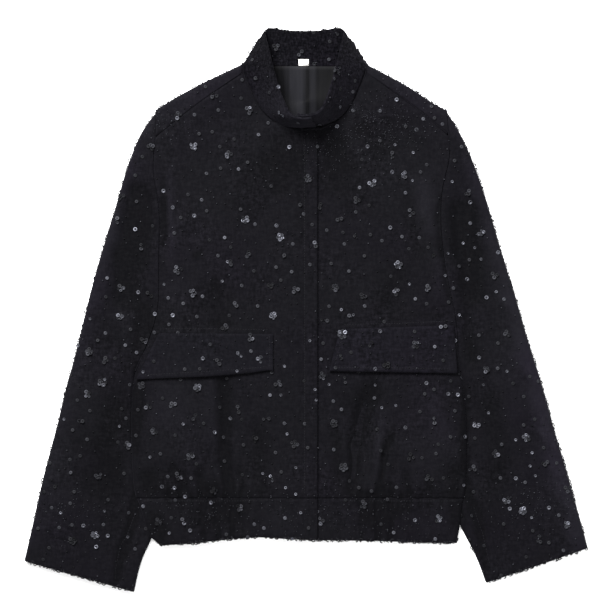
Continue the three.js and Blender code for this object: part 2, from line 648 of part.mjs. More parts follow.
// One point of a sleeve's section: from the inner edge over the top, round the outer edge and back below.
function sleevePoint(row, step) {
  const edge = EDGE_STEPS.length - 1;
  const topEnd = edge + SLEEVE_TOP_STEPS;
  const foldEnd = topEnd + SLEEVE_FOLD_STEPS;
  const bottomEnd = foldEnd + SLEEVE_BOTTOM_STEPS;
  const length = Math.hypot(row.outsideX - row.insideX, row.outsideY - row.insideY);
  const radius = row.insideRadius;
  const scale = Math.min(1, (length - row.outsideRadius) / SLEEVE_NARROW);
  const start = EDGE_STEPS[edge] * scale;
  const arc = foldLength(row.open, radius);
  const startInset = onFold(start, row.open, radius, 1).inset;
  const endInset = length - row.outsideRadius;
  let inset = 0;
  let z = 0;
  if (step <= edge || step >= bottomEnd) {
    const up = step <= edge ? 1 : -1;
    const distance = EDGE_STEPS[up > 0 ? step : bottomEnd + edge - step] * scale;
    const fold = onFold(distance, row.open, radius, up);
    inset = fold.inset;
    z = fold.z;
    if (distance < 0.01 && arc > 0.1) z += (up * SEAM) / 2;
  } else if (step <= topEnd) {
    inset = mix(startInset, endInset, (step - edge) / SLEEVE_TOP_STEPS);
  } else if (step <= foldEnd) {
    const angle = Math.PI * (0.5 - (step - topEnd) / SLEEVE_FOLD_STEPS);
    inset = endInset + row.outsideRadius * Math.cos(angle);
    z = row.outsideRadius * (1 + Math.sin(angle));
  } else {
    inset = mix(endInset, startInset, (step - foldEnd) / SLEEVE_BOTTOM_STEPS);
  }
  if (step <= topEnd && inset >= radius * Math.cos(openAngle(row.open)) - 0.01) {
    const share = Math.max(0, (inset - radius) / Math.max(1, endInset - radius));
    const bump = smooth(share / SLEEVE_CROWN) * smooth((1 - share) / SLEEVE_CROWN);
    z = mix(2 * radius, 2 * row.outsideRadius, smooth(share)) + row.rise * bump;
  }
  const t = inset / length;
  return [mix(row.insideX, row.outsideX, t), mix(row.insideY, row.outsideY, t), z];
}

function sleeve(hand) {
  const rows = sleeveRows(hand).reverse();
  const steps = 2 * (EDGE_STEPS.length - 1) + SLEEVE_TOP_STEPS + SLEEVE_FOLD_STEPS + SLEEVE_BOTTOM_STEPS;
  const step = (i) => (hand === "left" ? steps - i : i);
  return wall(steps, rows.length - 1, (i, j) => sleevePoint(rows[j], step(i)));
}

// The collar is one band whose two ends lap at the front middle.
function collar() {
  const half = COLLAR.length - 1;
  const turns = 2 * half + 2 * COLLAR_LAP;
  const steps = Math.round(turns * COLLAR_STEPS);
  const rows = 4;
  const table = COLLAR.map((row, part) => ({ part, ...row }));
  const place = (i, j) => {
    const part = (i / steps) * turns - COLLAR_LAP;
    const past = part < 0 ? -part : Math.max(0, part - 2 * half);
    const mirrored = part > half;
    const at = past > 0 ? past : mirrored ? 2 * half - part : part;
    const sign = (mirrored ? 1 : -1) * (past > 0 ? -1 : 1);
    const value = (column) => read(table, "part", at, column);
    const share = j / rows;
    const x = sign * mix(value("outBase"), value("outTop"), share);
    const under = smooth((part - 2 * half + COLLAR_UNDERLAP.rows) / COLLAR_UNDERLAP.over);
    const y = mix(value("yBase"), value("yTop"), share) + under * COLLAR_UNDERLAP.back;
    return [NECK_X + x, y, mix(value("zBase"), value("zTop"), share) - under * COLLAR_UNDERLAP.down];
  };
  return wall(steps, rows, (i, j) => place(steps - i, j));
}

// A pocket flap: the front's own surface moved out, lifting towards its lower edge.
function flap(corners, hand) {
  const columns = 14;
  const rows = 4;
  const place = (i, j) => {
    const across = hand === "left" ? 1 - i / columns : i / columns;
    const down = 1 - j / rows;
    const x = mix(mix(corners.topX0, corners.topX1, across), mix(corners.lowX0, corners.lowX1, across), down);
    const y = mix(mix(corners.topY0, corners.topY1, across), mix(corners.lowY0, corners.lowY1, across), down);
    const z = bodyHeight(x, y, hand === "left" ? 1 : 0);
    return [x, y, z + FLAP_CLEARANCE + FLAP_WALL + FLAP_LIFT * down * down];
  };
  return wall(columns, rows, place, { thickness: FLAP_WALL });
}

// The lining that shows in the neck opening, with a pleat down the middle of the back.
function lining() {
  const columns = 20;
  const rows = 4;
  const place = (i, j) => {
    const share = j / rows;
    const half = mix(LINING.halfBottom, LINING.halfTop, Math.sin((share * Math.PI) / 2));
    const out = mix(-half, half, i / columns);
    const drop = LINING.endDrop * smooth((Math.abs(out) - LINING.flatHalf) / LINING.flatHalf * 2);
    return [NECK_X + out, mix(LINING.bottomY, LINING.topY - drop, share), WALL + SEAM + LINING_WALL];
  };
  const relief = (i, j) => {
    const [x, y] = place(i, j);
    const away = Math.abs(x - PLEAT.x) / PLEAT.half;
    return PLEAT.rise * smooth(1 - away) * smooth((y - PLEAT.bottomY) / PLEAT.fade);
  };
  return wall(columns, rows, place, { thickness: LINING_WALL, relief });
}

function label() {
  const place = (i, j) => [
    LABEL.x + (i - 0.5) * LABEL.width,
    LABEL.y + (j - 0.5) * LABEL.height,
    WALL + SEAM + LABEL.thickness,
  ];
  return wall(1, 1, place, { thickness: LABEL.thickness });
}

function piece(name, geometry, color, roughness) {
  const material = new THREE.MeshStandardMaterial({ color, roughness, metalness: 0 });
  const mesh = new THREE.Mesh(geometry, material);
  mesh.name = name;
  return mesh;
}

const CLOTH = "#1e1e23";
const jacket = new THREE.Group();
jacket.add(
  piece("back", back(), CLOTH, 0.9),
  piece("front_right", front("left"), CLOTH, 0.9),
  piece("front_left", front("right"), CLOTH, 0.9),
  piece("hem_back", hemBack(), CLOTH, 0.9),
  piece("hem_front_right", hemFront("left"), CLOTH, 0.9),
  piece("hem_front_left", hemFront("right"), CLOTH, 0.9),
  piece("sleeve_right", sleeve("left"), CLOTH, 0.9),
  piece("sleeve_left", sleeve("right"), CLOTH, 0.9),
  piece("collar", collar(), CLOTH, 0.9),
  piece("flap_right", flap(FLAPS.right, "left"), CLOTH, 0.9),
  piece("flap_left", flap(FLAPS.left, "right"), CLOTH, 0.9),
  piece("back_lining", lining(), "#29292e", 0.45),
  piece("size_label", label(), "#e9e8e4", 0.7),
);

export default jacket;
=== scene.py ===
import math
import random

import bmesh
import bpy
import numpy as np
from mathutils import Matrix, Vector
from mathutils.bvhtree import BVHTree


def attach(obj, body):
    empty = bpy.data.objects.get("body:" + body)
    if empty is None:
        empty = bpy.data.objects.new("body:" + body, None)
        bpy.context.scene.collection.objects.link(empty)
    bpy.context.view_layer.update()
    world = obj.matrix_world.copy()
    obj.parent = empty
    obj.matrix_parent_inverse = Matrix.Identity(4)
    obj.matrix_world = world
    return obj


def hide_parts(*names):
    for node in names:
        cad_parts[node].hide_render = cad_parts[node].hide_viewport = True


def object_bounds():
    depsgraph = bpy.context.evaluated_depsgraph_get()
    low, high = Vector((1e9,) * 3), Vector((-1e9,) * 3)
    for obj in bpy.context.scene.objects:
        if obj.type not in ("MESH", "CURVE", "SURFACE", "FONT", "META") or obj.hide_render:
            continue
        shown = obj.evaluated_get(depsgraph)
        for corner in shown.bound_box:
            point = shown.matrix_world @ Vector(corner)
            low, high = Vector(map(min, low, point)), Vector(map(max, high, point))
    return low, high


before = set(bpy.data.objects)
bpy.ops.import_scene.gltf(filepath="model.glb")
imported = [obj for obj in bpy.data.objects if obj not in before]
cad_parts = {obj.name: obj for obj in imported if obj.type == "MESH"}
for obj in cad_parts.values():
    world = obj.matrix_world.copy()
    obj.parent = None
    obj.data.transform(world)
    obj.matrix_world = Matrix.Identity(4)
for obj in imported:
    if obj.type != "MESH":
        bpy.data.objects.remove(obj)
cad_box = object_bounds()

# A black textured jacket with sequin flowers, laid out flat and seen from straight above.
# Tables are in millimetres, in the jacket's own frame: X across, Y towards the collar, Z up.
MM = 0.001
ROOT = "root"
NECK_X = -2  # the middle of the neck and body
SLEEVES_X = -6  # the middle between the two sleeves' outer edges
random.seed(41)


def rows(names, values):
    """A table as one dictionary a row, from the names of its columns."""
    return [dict(zip(names.split(), row)) for row in values]


def read_off(table, key, places, by="y"):
    """A column of a table, read off at places along another column, in a straight line between rows."""
    return np.interp(places, [row[by] for row in table], [row[key] for row in table])


def in_scene(name, data):
    """A new object with that mesh, curve, lamp or lens, linked into the scene."""
    made = bpy.data.objects.new(name, data)
    bpy.context.collection.objects.link(made)
    return made


# Colours and materials

def linear(hex_colour):
    """An sRGB hex colour as linear RGBA."""
    parts = [int(hex_colour[k:k + 2], 16) / 255 for k in (1, 3, 5)]
    return [c / 12.92 if c <= 0.04045 else ((c + 0.055) / 1.055) ** 2.4 for c in parts] + [1.0]


def new_material(name):
    """An empty node material and its shader."""
    material = bpy.data.materials.new(name)
    material.use_nodes = True
    return material, material.node_tree, material.node_tree.nodes["Principled BSDF"]


# Settings of a node that mixes two colours, of one that tints a colour, and of one that multiplies.
COLOURS = {"data_type": "RGBA"}
TINTED = {"data_type": "RGBA", "blend_type": "MULTIPLY"}
PRODUCT = {"operation": "MULTIPLY"}


def feed(tree, node, **inputs):
    """Sets or links a node's inputs. The key _1 is the socket at place 1, and other keys are names."""
    for key, value in inputs.items():
        socket = node.inputs[int(key[1:])] if key[0] == "_" else node.inputs[key.replace("_", " ")]
        if isinstance(value, bpy.types.NodeSocket):
            tree.links.new(value, socket)
        else:
            socket.default_value = value
    return node


def add(tree, kind, settings=None, **inputs):
    """Adds a node, sets its properties, and sets or links its inputs."""
    node = tree.nodes.new(kind)
    for key, value in (settings or {}).items():
        setattr(node, key, value)
    return feed(tree, node, **inputs)


def per_metre(size_mm):
    """The scale that gives a noise or wave texture features of that size."""
    return 1000 / size_mm


def ramp(tree, factor, stops):
    """A colour ramp with (place, grey) stops."""
    node = add(tree, "ShaderNodeValToRGB", Fac=factor)
    points = node.color_ramp.elements
    while len(points) < len(stops):
        points.new(0.5)
    for point, (place, grey) in zip(points, stops):
        point.position = place
        point.color = (grey, grey, grey, 1)
    return node.outputs["Color"]


def textured_jacquard(name, dark, light, tuft_mm=3.4, smooth=0.2, sheen=0.03):
    """Textured polyester jacquard, woven with slubbed yarn. It gives the eye a near-black, matt ground with
    short soft slubs across and down and a faint cool tinge. Painted shade darkens it in folds and patches,
    and painted light lifts it on ridges and edges."""
    material, tree, shader = new_material(name)
    place = add(tree, "ShaderNodeTexCoord").outputs["Object"]
    down = add(tree, "ShaderNodeMapping", Vector=place, Scale=(1, 0.4, 1)).outputs["Vector"]
    across = add(tree, "ShaderNodeMapping", Vector=place, Scale=(0.45, 1, 1)).outputs["Vector"]
    # Warp slubs run down the cloth and weft slubs across it. Both are drawn twice their real width to show.
    yarn = dict(Detail=3.0, Roughness=0.65)
    warp = add(tree, "ShaderNodeTexNoise", Vector=down, Scale=per_metre(tuft_mm * 0.9), **yarn)
    weft = add(tree, "ShaderNodeTexNoise", Vector=across, Scale=per_metre(tuft_mm), **yarn)
    cloud = add(tree, "ShaderNodeTexNoise", Vector=place, Scale=per_metre(60), Detail=3.0)
    slub = add(tree, "ShaderNodeMath", PRODUCT, _0=warp.outputs["Fac"], _1=weft.outputs["Fac"])
    slub = ramp(tree, slub.outputs["Value"], [(0.12, 0.0), (0.4, 1.0)])
    # The texture shows more in some places, where the nap stands up.
    rough_places = ramp(tree, cloud.outputs["Fac"], [(0.45, smooth), (0.68, 1.0)])
    grain = add(tree, "ShaderNodeMix", Factor=rough_places, _2=0.42, _3=slub).outputs["Result"]
    # Painted shade: this attribute darkens the colour in folds and patches, and below zero it is painted
    # light.
    shade = add(tree, "ShaderNodeAttribute", {"attribute_name": "painted_shade"}).outputs["Fac"]
    shaded_grain = add(tree, "ShaderNodeMath", {"operation": "MULTIPLY_ADD"}, _0=shade, _1=-0.62, _2=grain)
    darkest_shade = add(tree, "ShaderNodeMath", PRODUCT, _0=grain, _1=0.3)
    tone = add(tree, "ShaderNodeMath", {"operation": "MAXIMUM"}, _0=shaded_grain.outputs["Value"],
               _1=darkest_shade.outputs["Value"]).outputs["Value"]
    colour = add(tree, "ShaderNodeMix", {"data_type": "RGBA", "clamp_factor": False},
                 Factor=tone, _6=linear(dark), _7=linear(light))
    cool = add(tree, "ShaderNodeTexNoise", Vector=place, Scale=per_metre(110), Detail=1.0)
    tinge = ramp(tree, cool.outputs["Fac"], [(0.4, 0.4), (0.7, 1.0)])
    tinted = add(tree, "ShaderNodeMix", TINTED, Factor=tinge, _6=colour.outputs[2], _7=linear("#f6e4ff"))
    bump = add(tree, "ShaderNodeBump", Height=grain, Strength=0.5, Distance=0.7 * MM)
    feed(tree, shader, Base_Color=tinted.outputs[2], Roughness=ramp(tree, slub, [(0.0, 0.95), (1.0, 0.75)]),
         Normal=bump.outputs["Normal"], Specular_IOR_Level=sheen + 0.02, Sheen_Weight=sheen,
         Sheen_Roughness=0.45, Sheen_Tint=linear("#b4b2c4"))
    return material


# Painted highlights across the ease pleat, where the satin's floats turn to the light: place from -40 to 40
# mm, and how bright.
PLEAT_HIGHLIGHTS = [(0.0, 0.05), (0.14, 0.12), (0.2, 0.45), (0.26, 0.95), (0.42, 1.0), (0.48, 0.75), (0.51, 0.1),
               (0.54, 0.1), (0.58, 0.8), (0.63, 0.7), (0.68, 0.15), (1.0, 0.06)]


def satin_lining():
    """Polyester satin, woven with long floats down the cloth. It gives the eye a charcoal ground with smooth
    bright bands along its folds, which are painted highlights broken into streaks."""
    material, tree, shader = new_material("polyester_satin")
    place = add(tree, "ShaderNodeTexCoord").outputs["Object"]
    floats = add(tree, "ShaderNodeMapping", Vector=place, Scale=(1, 0.08, 1)).outputs["Vector"]
    across = add(tree, "ShaderNodeSeparateXYZ", Vector=place).outputs["X"]
    bands = add(tree, "ShaderNodeMapRange", Value=across, _1=-40 * MM, _2=40 * MM).outputs["Result"]
    # Painted highlights: bright bands by place across the pleat, broken into streaks, mixed into the colour
    # towards #161619.
    highlight = ramp(tree, bands, PLEAT_HIGHLIGHTS)
    streaks = add(tree, "ShaderNodeTexNoise", Vector=floats, Scale=per_metre(7), Detail=2.0)
    streaks = ramp(tree, streaks.outputs["Fac"], [(0.38, 0.62), (0.58, 1.0)])
    highlight = add(tree, "ShaderNodeMath", PRODUCT, _0=highlight, _1=streaks).outputs["Value"]
    threads = add(tree, "ShaderNodeTexNoise", Vector=floats, Scale=per_metre(2.4), Detail=2.0)
    tone = ramp(tree, threads.outputs["Fac"], [(0.3, 0.0), (0.7, 1.0)])
    ground = add(tree, "ShaderNodeMix", COLOURS, Factor=tone, _6=linear("#020203"), _7=linear("#060607"))
    colour = add(tree, "ShaderNodeMix", COLOURS, Factor=highlight, _6=ground.outputs[2], _7=linear("#161619"))
    bump = add(tree, "ShaderNodeBump", Height=threads.outputs["Fac"], Strength=0.25, Distance=0.3 * MM)
    feed(tree, shader, Base_Color=colour.outputs[2], Normal=bump.outputs["Normal"], Roughness=0.55,
         Specular_IOR_Level=0.04, Anisotropic=0.5)
    return material


def woven_tape():
    """Polyester label tape, woven with a fine rib. It gives the eye a small clean white patch."""
    material, tree, shader = new_material("polyester_tape")
    place = add(tree, "ShaderNodeTexCoord").outputs["Object"]
    ribs = add(tree, "ShaderNodeTexWave", {"bands_direction": "Y"}, Vector=place, Scale=per_metre(20),
               Distortion=0.6)
    tone = ramp(tree, ribs.outputs["Fac"], [(0.0, 0.86), (1.0, 1.0)])
    tint = add(tree, "ShaderNodeMix", TINTED, Factor=1.0, _6=tone, _7=linear("#eeece8"))
    feed(tree, shader, Base_Color=tint.outputs[2], Roughness=0.6)
    return material


def cup_sequin():
    """Pressed PET sequin film with a smoky metallised face. It gives the eye a small cup, from near black to
    silvery grey by a tone that differs at random from sequin to sequin; the silvery end is painted highlight,
    for sequins that catch the light. A soft gleam shows on the slope that faces the light."""
    material, tree, shader = new_material("pet_sequin_film")
    tone = add(tree, "ShaderNodeAttribute", {"attribute_name": "tone"}).outputs["Fac"]
    colour = add(tree, "ShaderNodeMix", COLOURS, Factor=tone, _6=linear("#0b0b0e"), _7=linear("#4c4d54"))
    polish = ramp(tree, tone, [(0.0, 0.7), (1.0, 0.42)])
    feed(tree, shader, Base_Color=colour.outputs[2], Roughness=polish, Metallic=0.85)
    return material


def sewing_thread():
    """Spun polyester thread. It gives the eye dull black stitches, a little lighter than the cloth round
    them."""
    material, tree, shader = new_material("spun_polyester_thread")
    place = add(tree, "ShaderNodeTexCoord").outputs["Object"]
    twist = add(tree, "ShaderNodeTexNoise", Vector=place, Scale=per_metre(1.2), Detail=1.0)
    tone = ramp(tree, twist.outputs["Fac"], [(0.3, 0.0), (0.7, 1.0)])
    colour = add(tree, "ShaderNodeMix", COLOURS, Factor=tone, _6=linear("#08080a"), _7=linear("#16161a"))
    feed(tree, shader, Base_Color=colour.outputs[2], Roughness=0.8, Specular_IOR_Level=0.1)
    return material


def studio_floor():
    """Matt white card. It gives the eye an even white ground with a faint contact shadow."""
    material, tree, shader = new_material("matt_white_card")
    place = add(tree, "ShaderNodeTexCoord").outputs["Object"]
    pulp = add(tree, "ShaderNodeTexNoise", Vector=place, Scale=per_metre(90), Detail=2.0)
    tone = ramp(tree, pulp.outputs["Fac"], [(0.0, 0.93), (1.0, 0.96)])
    feed(tree, shader, Base_Color=tone, Roughness=1.0, Specular_IOR_Level=0.0)
    return material


SHELL = textured_jacquard("slub_jacquard", "#010102", "#0b0b0e")
# The flaps' cloth is the shell's jacquard made a little lighter: painted light on the raised flaps.
LIT_FLAP_CLOTH = textured_jacquard("slub_jacquard_flap_lit", "#010102", "#0d0d11")
# The collar's cloth is the shell's jacquard with a finer grain that shows more and less sheen, made darker:
# painted shade on the standing collar.
SHADED_COLLAR_CLOTH = textured_jacquard("slub_jacquard_collar_shaded", "#000001", "#111114", 2.6, 0.85, 0.012)
SATIN = satin_lining()
TAPE = woven_tape()
SEQUIN = cup_sequin()
THREAD = sewing_thread()


# Folds of the cloth

# The main creases of the body: two ends, half width and depth. A ridge has a negative depth.
BODY_CREASES = rows("x0 y0 x1 y1 half depth", [
    # left of the picture, under the pocket flap
    (-104, -88, -106, -150, 11, 1.9), (-106, -146, -99, -232, 9, 2.0), (-120, -92, -118, -170, 12, -0.9),
    (-170, -96, -176, -150, 24, -1.0), (-172, -196, -152, -232, 9, 1.3), (-140, -206, -128, -236, 7, 1.2),
    (-113, -204, -106, -238, 5, -1.3), (-84, -200, -78, -238, 6, 1.1), (-60, -150, -56, -236, 14, 0.9),
    # right of the picture, under the pocket flap
    (90, -92, 74, -122, 13, 1.6), (76, -118, 64, -176, 12, 2.2), (64, -172, 56, -236, 8, 2.1),
    (98, -138, 88, -236, 6, -1.8), (114, -154, 98, -192, 5, 1.9), (99, -188, 91, -238, 6, 1.9),
    (38, -150, 42, -236, 8, 0.9), (166, -100, 176, -190, 18, -0.9), (130, -205, 126, -238, 6, 1.0),
    (156, -214, 152, -238, 6, 0.9),
    # chest
    (-181, 166, -178, 86, 5, 0.9), (-173, 176, -170, 60, 7, -0.8), (-150, 10, -96, 24, 22, 0.8),
    (-108, 0, -112, -24, 14, 0.8), (-60, 200, -72, 110, 26, 0.7), (150, 166, 158, 92, 13, -1.3),
    (134, 150, 142, 70, 12, 0.9), (120, 60, 104, -6, 20, 0.8), (165, 70, 172, 14, 8, -0.9),
    (50, 190, 70, 120, 24, 0.7), (-6, 205, -5, 90, 9, 0.7), (-30, 226, -34, 150, 22, 1.0),
    (40, 222, 24, 150, 20, 1.0),
    # above the pocket flaps
    (96, -11, 178, -6, 4, 0.9), (-186, -18, -70, -19, 3, 0.7),
    # beside the armhole seams
    (174, 148, 170, 112, 5, 0.9), (170, 116, 174, 66, 5, 1.1), (173, 70, 187, 8, 4, 0.9),
    (-190, 140, -187, 40, 4, 0.7),
    # beside the side seams
    (-212, -96, -214, -150, 8, 1.2), (-206, -205, -196, -240, 14, 1.6), (194, -200, 190, -240, 12, 1.2),
])
# The gathers: where each meets the hem seam and the edge, how far it reaches up the body, the share of it
# that goes on down the band, half width and depth.
GATHERS = rows("x edge up band half depth", [
    (-176, -170, 16, 0.1, 4.2, 0.9), (-160, -154, 26, 0.3, 4.6, 1.1), (-147, -143, 12, 0.1, 3.4, 0.8),
    (-135, -130, 34, 0.7, 4.4, 1.5), (-125, -124, 20, 0.1, 3.4, 1.6), (-114, -112, 40, 0.9, 4.6, 1.3),
    (-104, -102, 14, 0.1, 3.2, 0.9), (-94, -94, 30, 0.8, 4.2, 1.6), (-83, -85, 22, 0.1, 3.8, 1.0),
    (-72, -75, 12, 0.1, 3.4, 0.7), (-58, -60, 18, 0.1, 4.8, 0.5), (58, 60, 16, 0.1, 4.2, 0.7),
    (69, 71, 26, 0.3, 3.8, 1.4), (80, 80, 14, 0.1, 3.4, 1.0), (91, 92, 44, 1.0, 4.4, 1.6),
    (100, 102, 18, 0.1, 3.4, 1.1), (109, 108, 30, 0.8, 4.0, 1.4), (121, 119, 12, 0.1, 3.6, 0.9),
    (133, 130, 24, 0.1, 4.6, 1.2), (146, 144, 16, 0.1, 4.0, 0.9), (159, 158, 22, 0.1, 4.4, 1.0),
    (173, 172, 12, 0.1, 4.0, 0.8),
])
SLEEVE_CREASES = rows("x0 y0 x1 y1 half depth", [
    # right sleeve, from the armhole down
    (-213, 156, -221, 60, 23, 2.9), (-222, 76, -232, 4, 22, 2.3), (-206, 10, -214, -60, 12, 1.4),
    (-262, -60, -284, -150, 26, -1.0), (-240, -120, -262, -236, 20, 1.2),
    (-300, -180, -320, -280, 18, -0.8),
    # its inseam, where it comes round to the top near the cuff, the hollow beside that, and the outer edge
    (-214, -208, -217, -246, 6, 3.0), (-217, -246, -221, -268, 6, 4.4), (-221, -268, -230, -294, 6, 4.6),
    (-230, -294, -239, -317, 6, 4.2), (-239, -317, -241, -350, 5, 3.0), (-240, -200, -246, -300, 16, 0.7),
    (-222, 200, -345, -290, 15, -0.9),
    # left sleeve, from the armhole down
    (204, 136, 206, 66, 21, 3.2), (207, 76, 213, 10, 17, 2.8), (204, 0, 214, -70, 11, 1.5),
    (256, -40, 276, -140, 24, -1.0), (234, -110, 254, -220, 18, 1.2), (300, -170, 318, -260, 18, -0.8),
    # its inseam, the hollow beside that, and the outer edge
    (202, -205, 211, -247, 6, 3.6), (211, -247, 220, -267, 7, 4.6), (220, -267, 223, -292, 6, 3.8),
    (223, -292, 233, -334, 5, 1.8), (238, -200, 242, -290, 16, 0.7), (212, 190, 348, -280, 15, -1.1),
])


# How much painted light there is along the sleeves' outer edges, from cuff to shoulder, and how wide that is.
EDGE_LIGHT = rows("y left right", [
    (-330, 0.5, 1.0), (-220, 0.55, 1.25), (-80, 0.45, 1.2), (20, 0.5, 0.95), (120, 0.75, 0.55),
    (210, 0.8, 0.6),
])
EDGE_WIDTH = 24
SLEEVE_SHADE = 0.8  # how much painted shade a sleeve's folds get, next to those of the body
FULL_SHADE_DEPTH = 3.8  # a fold this deep, in millimetres, gets the full painted shade


def soft(t):
    """Smooth step from 0 to 1, for arrays."""
    c = np.clip(t, 0, 1)
    return c * c * (3 - 2 * c)


def crease_depth(points, creases):
    """How deep the creases are at points in millimetres. Each fades out at its ends and wanders a little."""
    x, y = points[:, 0], points[:, 1]
    wander = 1.6 * np.sin(y / 17 + x / 41) + 0.9 * np.sin(y / 7.3 - x / 29)
    depth = np.zeros(len(points))
    for row in creases:
        dx, dy = row["x1"] - row["x0"], row["y1"] - row["y0"]
        square = dx * dx + dy * dy
        along = ((x - row["x0"]) * dx + (y - row["y0"]) * dy) / square
        away = ((x - row["x0"]) * dy - (y - row["y0"]) * dx) / math.sqrt(square) + wander * 0.8
        across = soft(1 - np.abs(away) / (1.5 * row["half"]))
        ends = soft(along * 3.2 + 0.55) * soft((1 - along) * 3.2 + 0.55)
        depth += row["depth"] * across * ends
    return depth * 1.5


def slack(points):
    """Low uneven waves of cloth that lies unpressed, in millimetres."""
    x, y = points[:, 0], points[:, 1]
    long_waves = np.sin(x / 31 + 1.7 * np.sin(y / 57)) * np.sin(y / 43 + 1.1 * np.sin(x / 39))
    short_waves = np.sin(x / 11.7 + y / 23 + 2 * np.sin(y / 31)) * np.sin(y / 13.1 - x / 19)
    return 0.45 * long_waves + 0.16 * short_waves


# Copies of the solids, made fine

RIM_ANGLE = math.radians(55)
RIM_CREASE = 0.9


def fine_copy(node, name, levels=2):
    """A smooth copy of a node's closed wall: its grid of squares is found again, and then subdivided."""
    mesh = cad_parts[node].data.copy()
    sheet = bmesh.new()
    sheet.from_mesh(mesh)
    bmesh.ops.remove_doubles(sheet, verts=sheet.verts, dist=0.02 * MM)
    bmesh.ops.join_triangles(sheet, faces=sheet.faces, angle_face_threshold=math.radians(50),
                             angle_shape_threshold=math.radians(70))
    crease = sheet.edges.layers.float.new("crease_edge")
    for edge in sheet.edges:
        if edge.is_manifold and edge.calc_face_angle() > RIM_ANGLE:
            edge[crease] = RIM_CREASE
    mesh = bpy.data.meshes.new(name)
    sheet.to_mesh(mesh)
    sheet.free()
    piece = in_scene(name, mesh)
    if levels:
        finer = piece.modifiers.new("finer", "SUBSURF")
        finer.levels = finer.render_levels = levels
    return apply_modifiers(piece)


def apply_modifiers(piece):
    """Makes the modifiers' result the piece's own mesh."""
    ready = piece.evaluated_get(bpy.context.evaluated_depsgraph_get())
    mesh = bpy.data.meshes.new_from_object(ready)
    piece.modifiers.clear()
    piece.data = mesh
    mesh.shade_smooth()
    return piece


def points_of(piece):
    flat = np.empty(len(piece.data.vertices) * 3)
    piece.data.vertices.foreach_get("co", flat)
    return flat.reshape(-1, 3) / MM


def set_points(piece, points):
    piece.data.vertices.foreach_set("co", (points * MM).ravel())
    piece.data.update()


def gather_depth(points):
    """How deep the gathers are: they run down the hem band and fade out up the body."""
    x, y = points[:, 0], points[:, 1]
    depth = np.zeros(len(points))
    for row in GATHERS:
        down = np.clip((-240 - y) / 58, 0, 1)
        middle = row["x"] + (row["edge"] - row["x"]) * down + 0.9 * np.sin(y / 6.1 + row["x"])
        across = soft(1 - np.abs(x - middle) / (1.4 * row["half"]))
        reach = soft((row["up"] - (y + 240)) / (0.8 * row["up"])) * (1 - (1 - row["band"]) * soft(down * 2.5))
        depth += row["depth"] * across * reach
    return depth


def roll(points):
    """The soft uneven roll in which the body hangs over its hem seam, in millimetres."""
    x, y = points[:, 0], points[:, 1]
    out = np.abs(x - NECK_X)
    gathered = soft((out - 46) / 40)
    wave = 0.5 * np.sin(out / 4.1 + 1.3 * np.sin(out / 13)) + 0.35 * np.sin(out / 7.7 + x / 60)
    height = 1.3 + gathered * (0.7 + wave)
    return height * soft(1 - np.abs(y + 228) / 17)


# The folded side edges of the body below the underarm, and the inner edges of the sleeves beside them.
BODY_SIDE = rows("y left right", [
    (-240, -216, 201), (-217, -220.2, 203.8), (-166, -222.5, 205), (-84, -220.5, 198.5),
])
SLEEVE_SIDE = rows("y left right", [
    (-262, -209.2, 199.3), (-232, -218.2, 202.8), (-190, -222.2, 205.2), (-150, -223.2, 205.2),
    (-84, -221, 199),
])
OUTER_FLOOR = 6.3  # the lowest that a sleeve's upper layer sinks: its outer face, and its inner one
INNER_FLOOR = 3.7


def close_side(points, table, amount):
    """How far to move points near the side edge outwards, so that body and sleeve touch there."""
    x, y = points[:, 0], points[:, 1]
    left, right = (read_off(table, side, y) for side in ("left", "right"))
    below = soft((-70 - y) / 20) * soft((y - table[0]["y"] + 6) / 8)
    return amount * below * (soft(1 - np.abs(x - right) / 9) - soft(1 - np.abs(x - left) / 9))


# The notch between the hem band's end and the sleeve, at the picture's left and right: each edge, and how far
# it is drawn towards the other. The cloth follows over the reach.
NOTCH_REACH = 14
NOTCH_BAND = [
    rows("y edge move", [
        (-302, -186, 0), (-296, -189.5, 2.2), (-289.7, -192.8, 5.2), (-282, -197.9, 3.6),
        (-275, -203.6, 1.8), (-255, -212, 0),
    ]),
    rows("y edge move", [
        (-285, 193, 0), (-275, 196, 0.2), (-269, 198.2, 0.8), (-264, 199, 0.6), (-252, 200.6, 0),
    ]),
]
NOTCH_SLEEVE = [
    rows("y edge move", [
        (-315, -206.5, 0), (-300, -203.5, -1.5), (-289.7, -201.3, -3.4), (-282, -202.5, -2.8),
        (-275, -205, -1.6), (-255, -211, 0),
    ]),
    rows("y edge move", [
        (-310, 214, 0), (-289, 206.4, -1.3), (-279.6, 203.3, -2.5), (-273, 201.2, -3.7),
        (-269, 200.1, -2.6), (-264, 199.5, -1.0), (-252, 200, 0),
    ]),
]


def close_notch(points, tables):
    """How far to move the edges beside the notches outwards."""
    x, y = points[:, 0], points[:, 1]
    moves = 0
    for table, side in zip(tables, (-1, 1)):
        edge, move = (read_off(table, key, y) for key in ("edge", "move"))
        moves = moves + side * move * soft(1 - np.abs(x - edge) / NOTCH_REACH)
    return moves


# How far the shoulder strip's two ends are drawn out to the sleeves.
SHOULDER_ENDS = rows("y left right", [
    (222, 2.0, 4.6), (228, 1.6, 5.0), (236, 1.8, 4.4), (244, 2.0, 3.4), (254, 2.0, 3.0),
])
STRIP_LEFT = -189.8
STRIP_RIGHT = 177.3
STRIP_REACH = 14  # how far in from its end the strip follows
STRIP_EDGE = dict(out=158, y=258, slope=0.72, fade=11)  # where its lower edge runs near the shoulder's end
# How far the strip's lower edge is drawn down to the fronts, from the middle outwards.
EDGE_DROP_LEFT = rows("out drop", [
    (166, 0), (178, 0.6), (189.8, 1.4),
])
EDGE_DROP_RIGHT = rows("out drop", [
    (150, 0), (160, 0.9), (166, 1.4), (170, 2.6), (174, 4.3), (177.3, 5),
])


